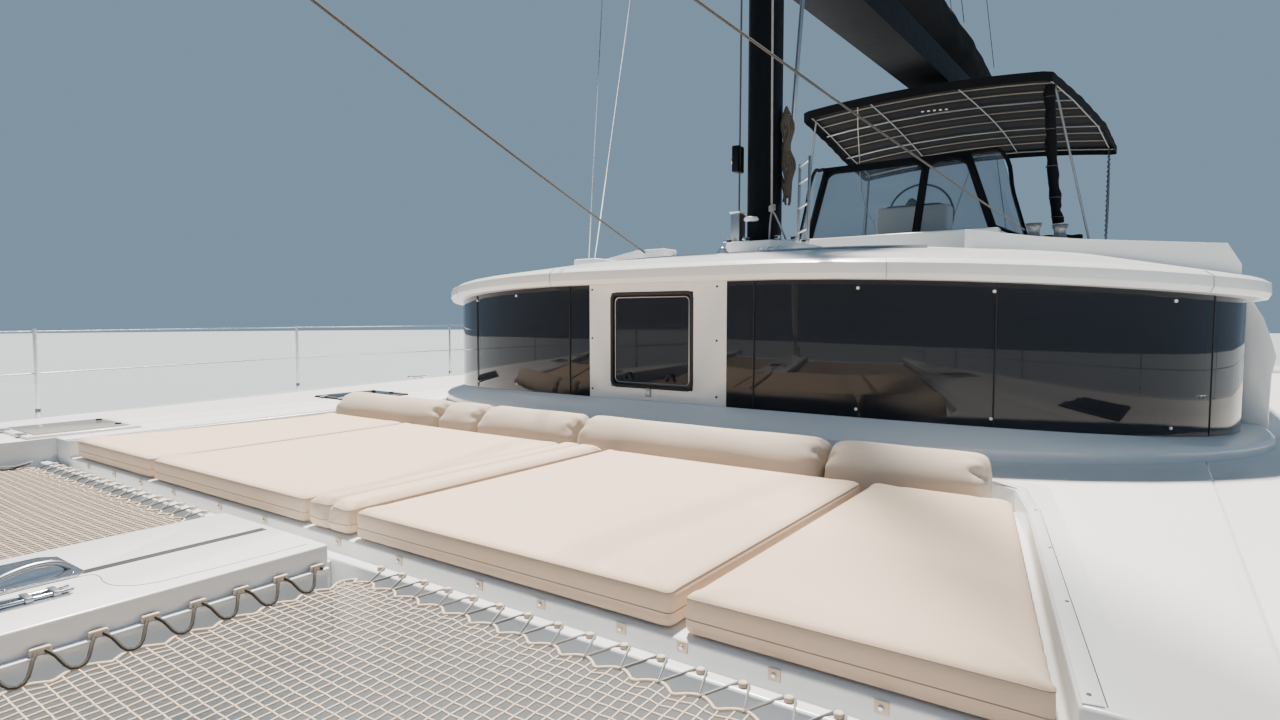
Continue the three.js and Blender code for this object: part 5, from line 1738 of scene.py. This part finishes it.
low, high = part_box("saloon_door")
BACK, WIDE = low.x - 0.008, 0.055
z0, z1 = low.z + WIDE, high.z - WIDE
door_bars = [((low.y, low.z), (high.y, z0)), ((low.y, z1), (high.y, high.z))]
door_bars += [((low.y, z0), (low.y + WIDE, z1)), ((high.y - WIDE, z0), (high.y, z1))]
door = framed(BACK, low.x + 0.004, door_bars)
door.append(block("pull", (BACK - 0.022, low.y + 0.018, 2.05), (BACK, low.y + 0.042, 2.35), STEEL, 0.006))
build("door_frame", door, "saloon_door")
(y0, z0), (y1, z1) = (1.05, 2.08), (2.45, 2.78)
RIM_WIDE = 0.03
aft_bars = [((y0 - RIM_WIDE, z0 - RIM_WIDE), (y1 + RIM_WIDE, z0))]
aft_bars += [((y0 - RIM_WIDE, z1), (y1 + RIM_WIDE, z1 + RIM_WIDE))]
aft_bars += [((y0 - RIM_WIDE, z0), (y0, z1)), ((y1, z0), (y1 + RIM_WIDE, z1))]
build("aft_window_frame", framed(-3.372, -3.355, aft_bars))
joints = []
for x, y in ((x, y) for y in (3.0005, -3.0005) for x in (-0.6, -1.8, -2.9)):
    joints.append(bar("joint", (x, y, 2.18), (x, y, 2.912), 0.0035, BLACK_RUBBER, 6, width=0.0005))
build("side_glass_joints", joints)

# %% Masthead, spreader ends and anchor
MAST_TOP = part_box("mast")[1].z
BOX_TOP = MAST_TOP + 0.06
masthead = [
    block("sheaves", (1.06, -0.09, MAST_TOP - 0.02), (1.56, 0.09, MAST_TOP + 0.07), MAST_BLACK, 0.012),
    bar("light_stem", (1.20, 0, BOX_TOP), (1.20, 0, BOX_TOP + 0.10), 0.012, GREY_METAL, 12),
    bar("light_lens", (1.20, 0, BOX_TOP + 0.09), (1.20, 0, BOX_TOP + 0.17), 0.034, WHITE, 16),
    bar("vane_stem", (1.50, 0, BOX_TOP), (1.50, 0, BOX_TOP + 0.34), 0.006, GREY_METAL, 10),
    block("vane", (1.36, -0.002, BOX_TOP + 0.28), (1.46, 0.002, BOX_TOP + 0.34), BLACK_RUBBER, 0.001),
    bar("vane_arm", (1.40, 0, BOX_TOP + 0.31), (1.64, 0, BOX_TOP + 0.31), 0.004, GREY_METAL, 10),
]
build("masthead", masthead)
tips = []
for z, side in ((z, side) for z in (12.56, 20.56) for side in (1, -1)):
    tips.append(bar("tip", (0.72, side * 1.47, z), (0.72, side * 1.53, z), 0.048, GREY_METAL, 14))
build("spreader_tips", tips)
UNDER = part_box("longeron")[0].z
anchor = []
for y in (0.075, -0.075):
    ends = (7.55, y - 0.008, UNDER - 0.11), (7.95, y + 0.008, UNDER + 0.01)
    anchor.append(block("cheek", *ends, STEEL, 0.004))
ends = ((7.88, y, UNDER - 0.07) for y in (-0.068, 0.068))
anchor.append(bar("roller", *ends, 0.034, BLACK_RUBBER, 20))
anchor.append(block("shank", (7.20, -0.014, UNDER - 0.085), (8.00, 0.014, UNDER - 0.025), STEEL, 0.008))
for side in (1, -1):
    outline = [(7.98, 0.0), (7.70, side * 0.20), (7.62, side * 0.16), (7.74, 0.0)]
    fluke = slab("fluke", outline, -0.012, 0.0, STEEL, 0.004)
    fluke.data.transform(Matrix.Translation((0.10, 0, UNDER - 0.12)))
    anchor.append(fluke)
build("anchor_in_roller", anchor)

# %% [markdown]
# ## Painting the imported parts
# The parts that stay as they were packed get their finish in their own material slots.


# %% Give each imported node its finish
def paint(material, *names):
    for name in names:
        dress(nodes[name], material)


# Partly the windscreen's own tint and partly painted shade: the screen is darker than the clear vinyl, so
# that the console behind it reads as shaded.
SCREEN_TINT_AND_SHADE = tinted("clear_windscreen", 0.34, (0.06, 0.08, 0.10))
paint(WHITE, *nodes)
paint(DARK_GLASS, *[n for n in nodes if "glass" in n or "window" in n], "saloon_door")
paint(BLACK_CANVAS, "windscreen_frame", "bimini_cover", "sail_bag", "headsail_furled")
paint(FRAME_METAL, "bimini_frame")
paint(STEEL, "helm_wheel")
paint(SCREEN_TINT_AND_SHADE, "windscreen_panel")
for side in ("port", "starboard"):
    paint(STEEL, f"shrouds_{side}", f"guardrail_{side}", f"propeller_shaft_{side}")
    paint(BRONZE, f"propeller_{side}")
    paint(ENGINE_GREY, f"engine_{side}")
    paint(HULL_SKIN, f"rudder_{side}")
for piece in bpy.data.objects:
    if piece.name.startswith("windscreen_wing_pane_"):
        piece.data.materials[0] = SCREEN_TINT_AND_SHADE
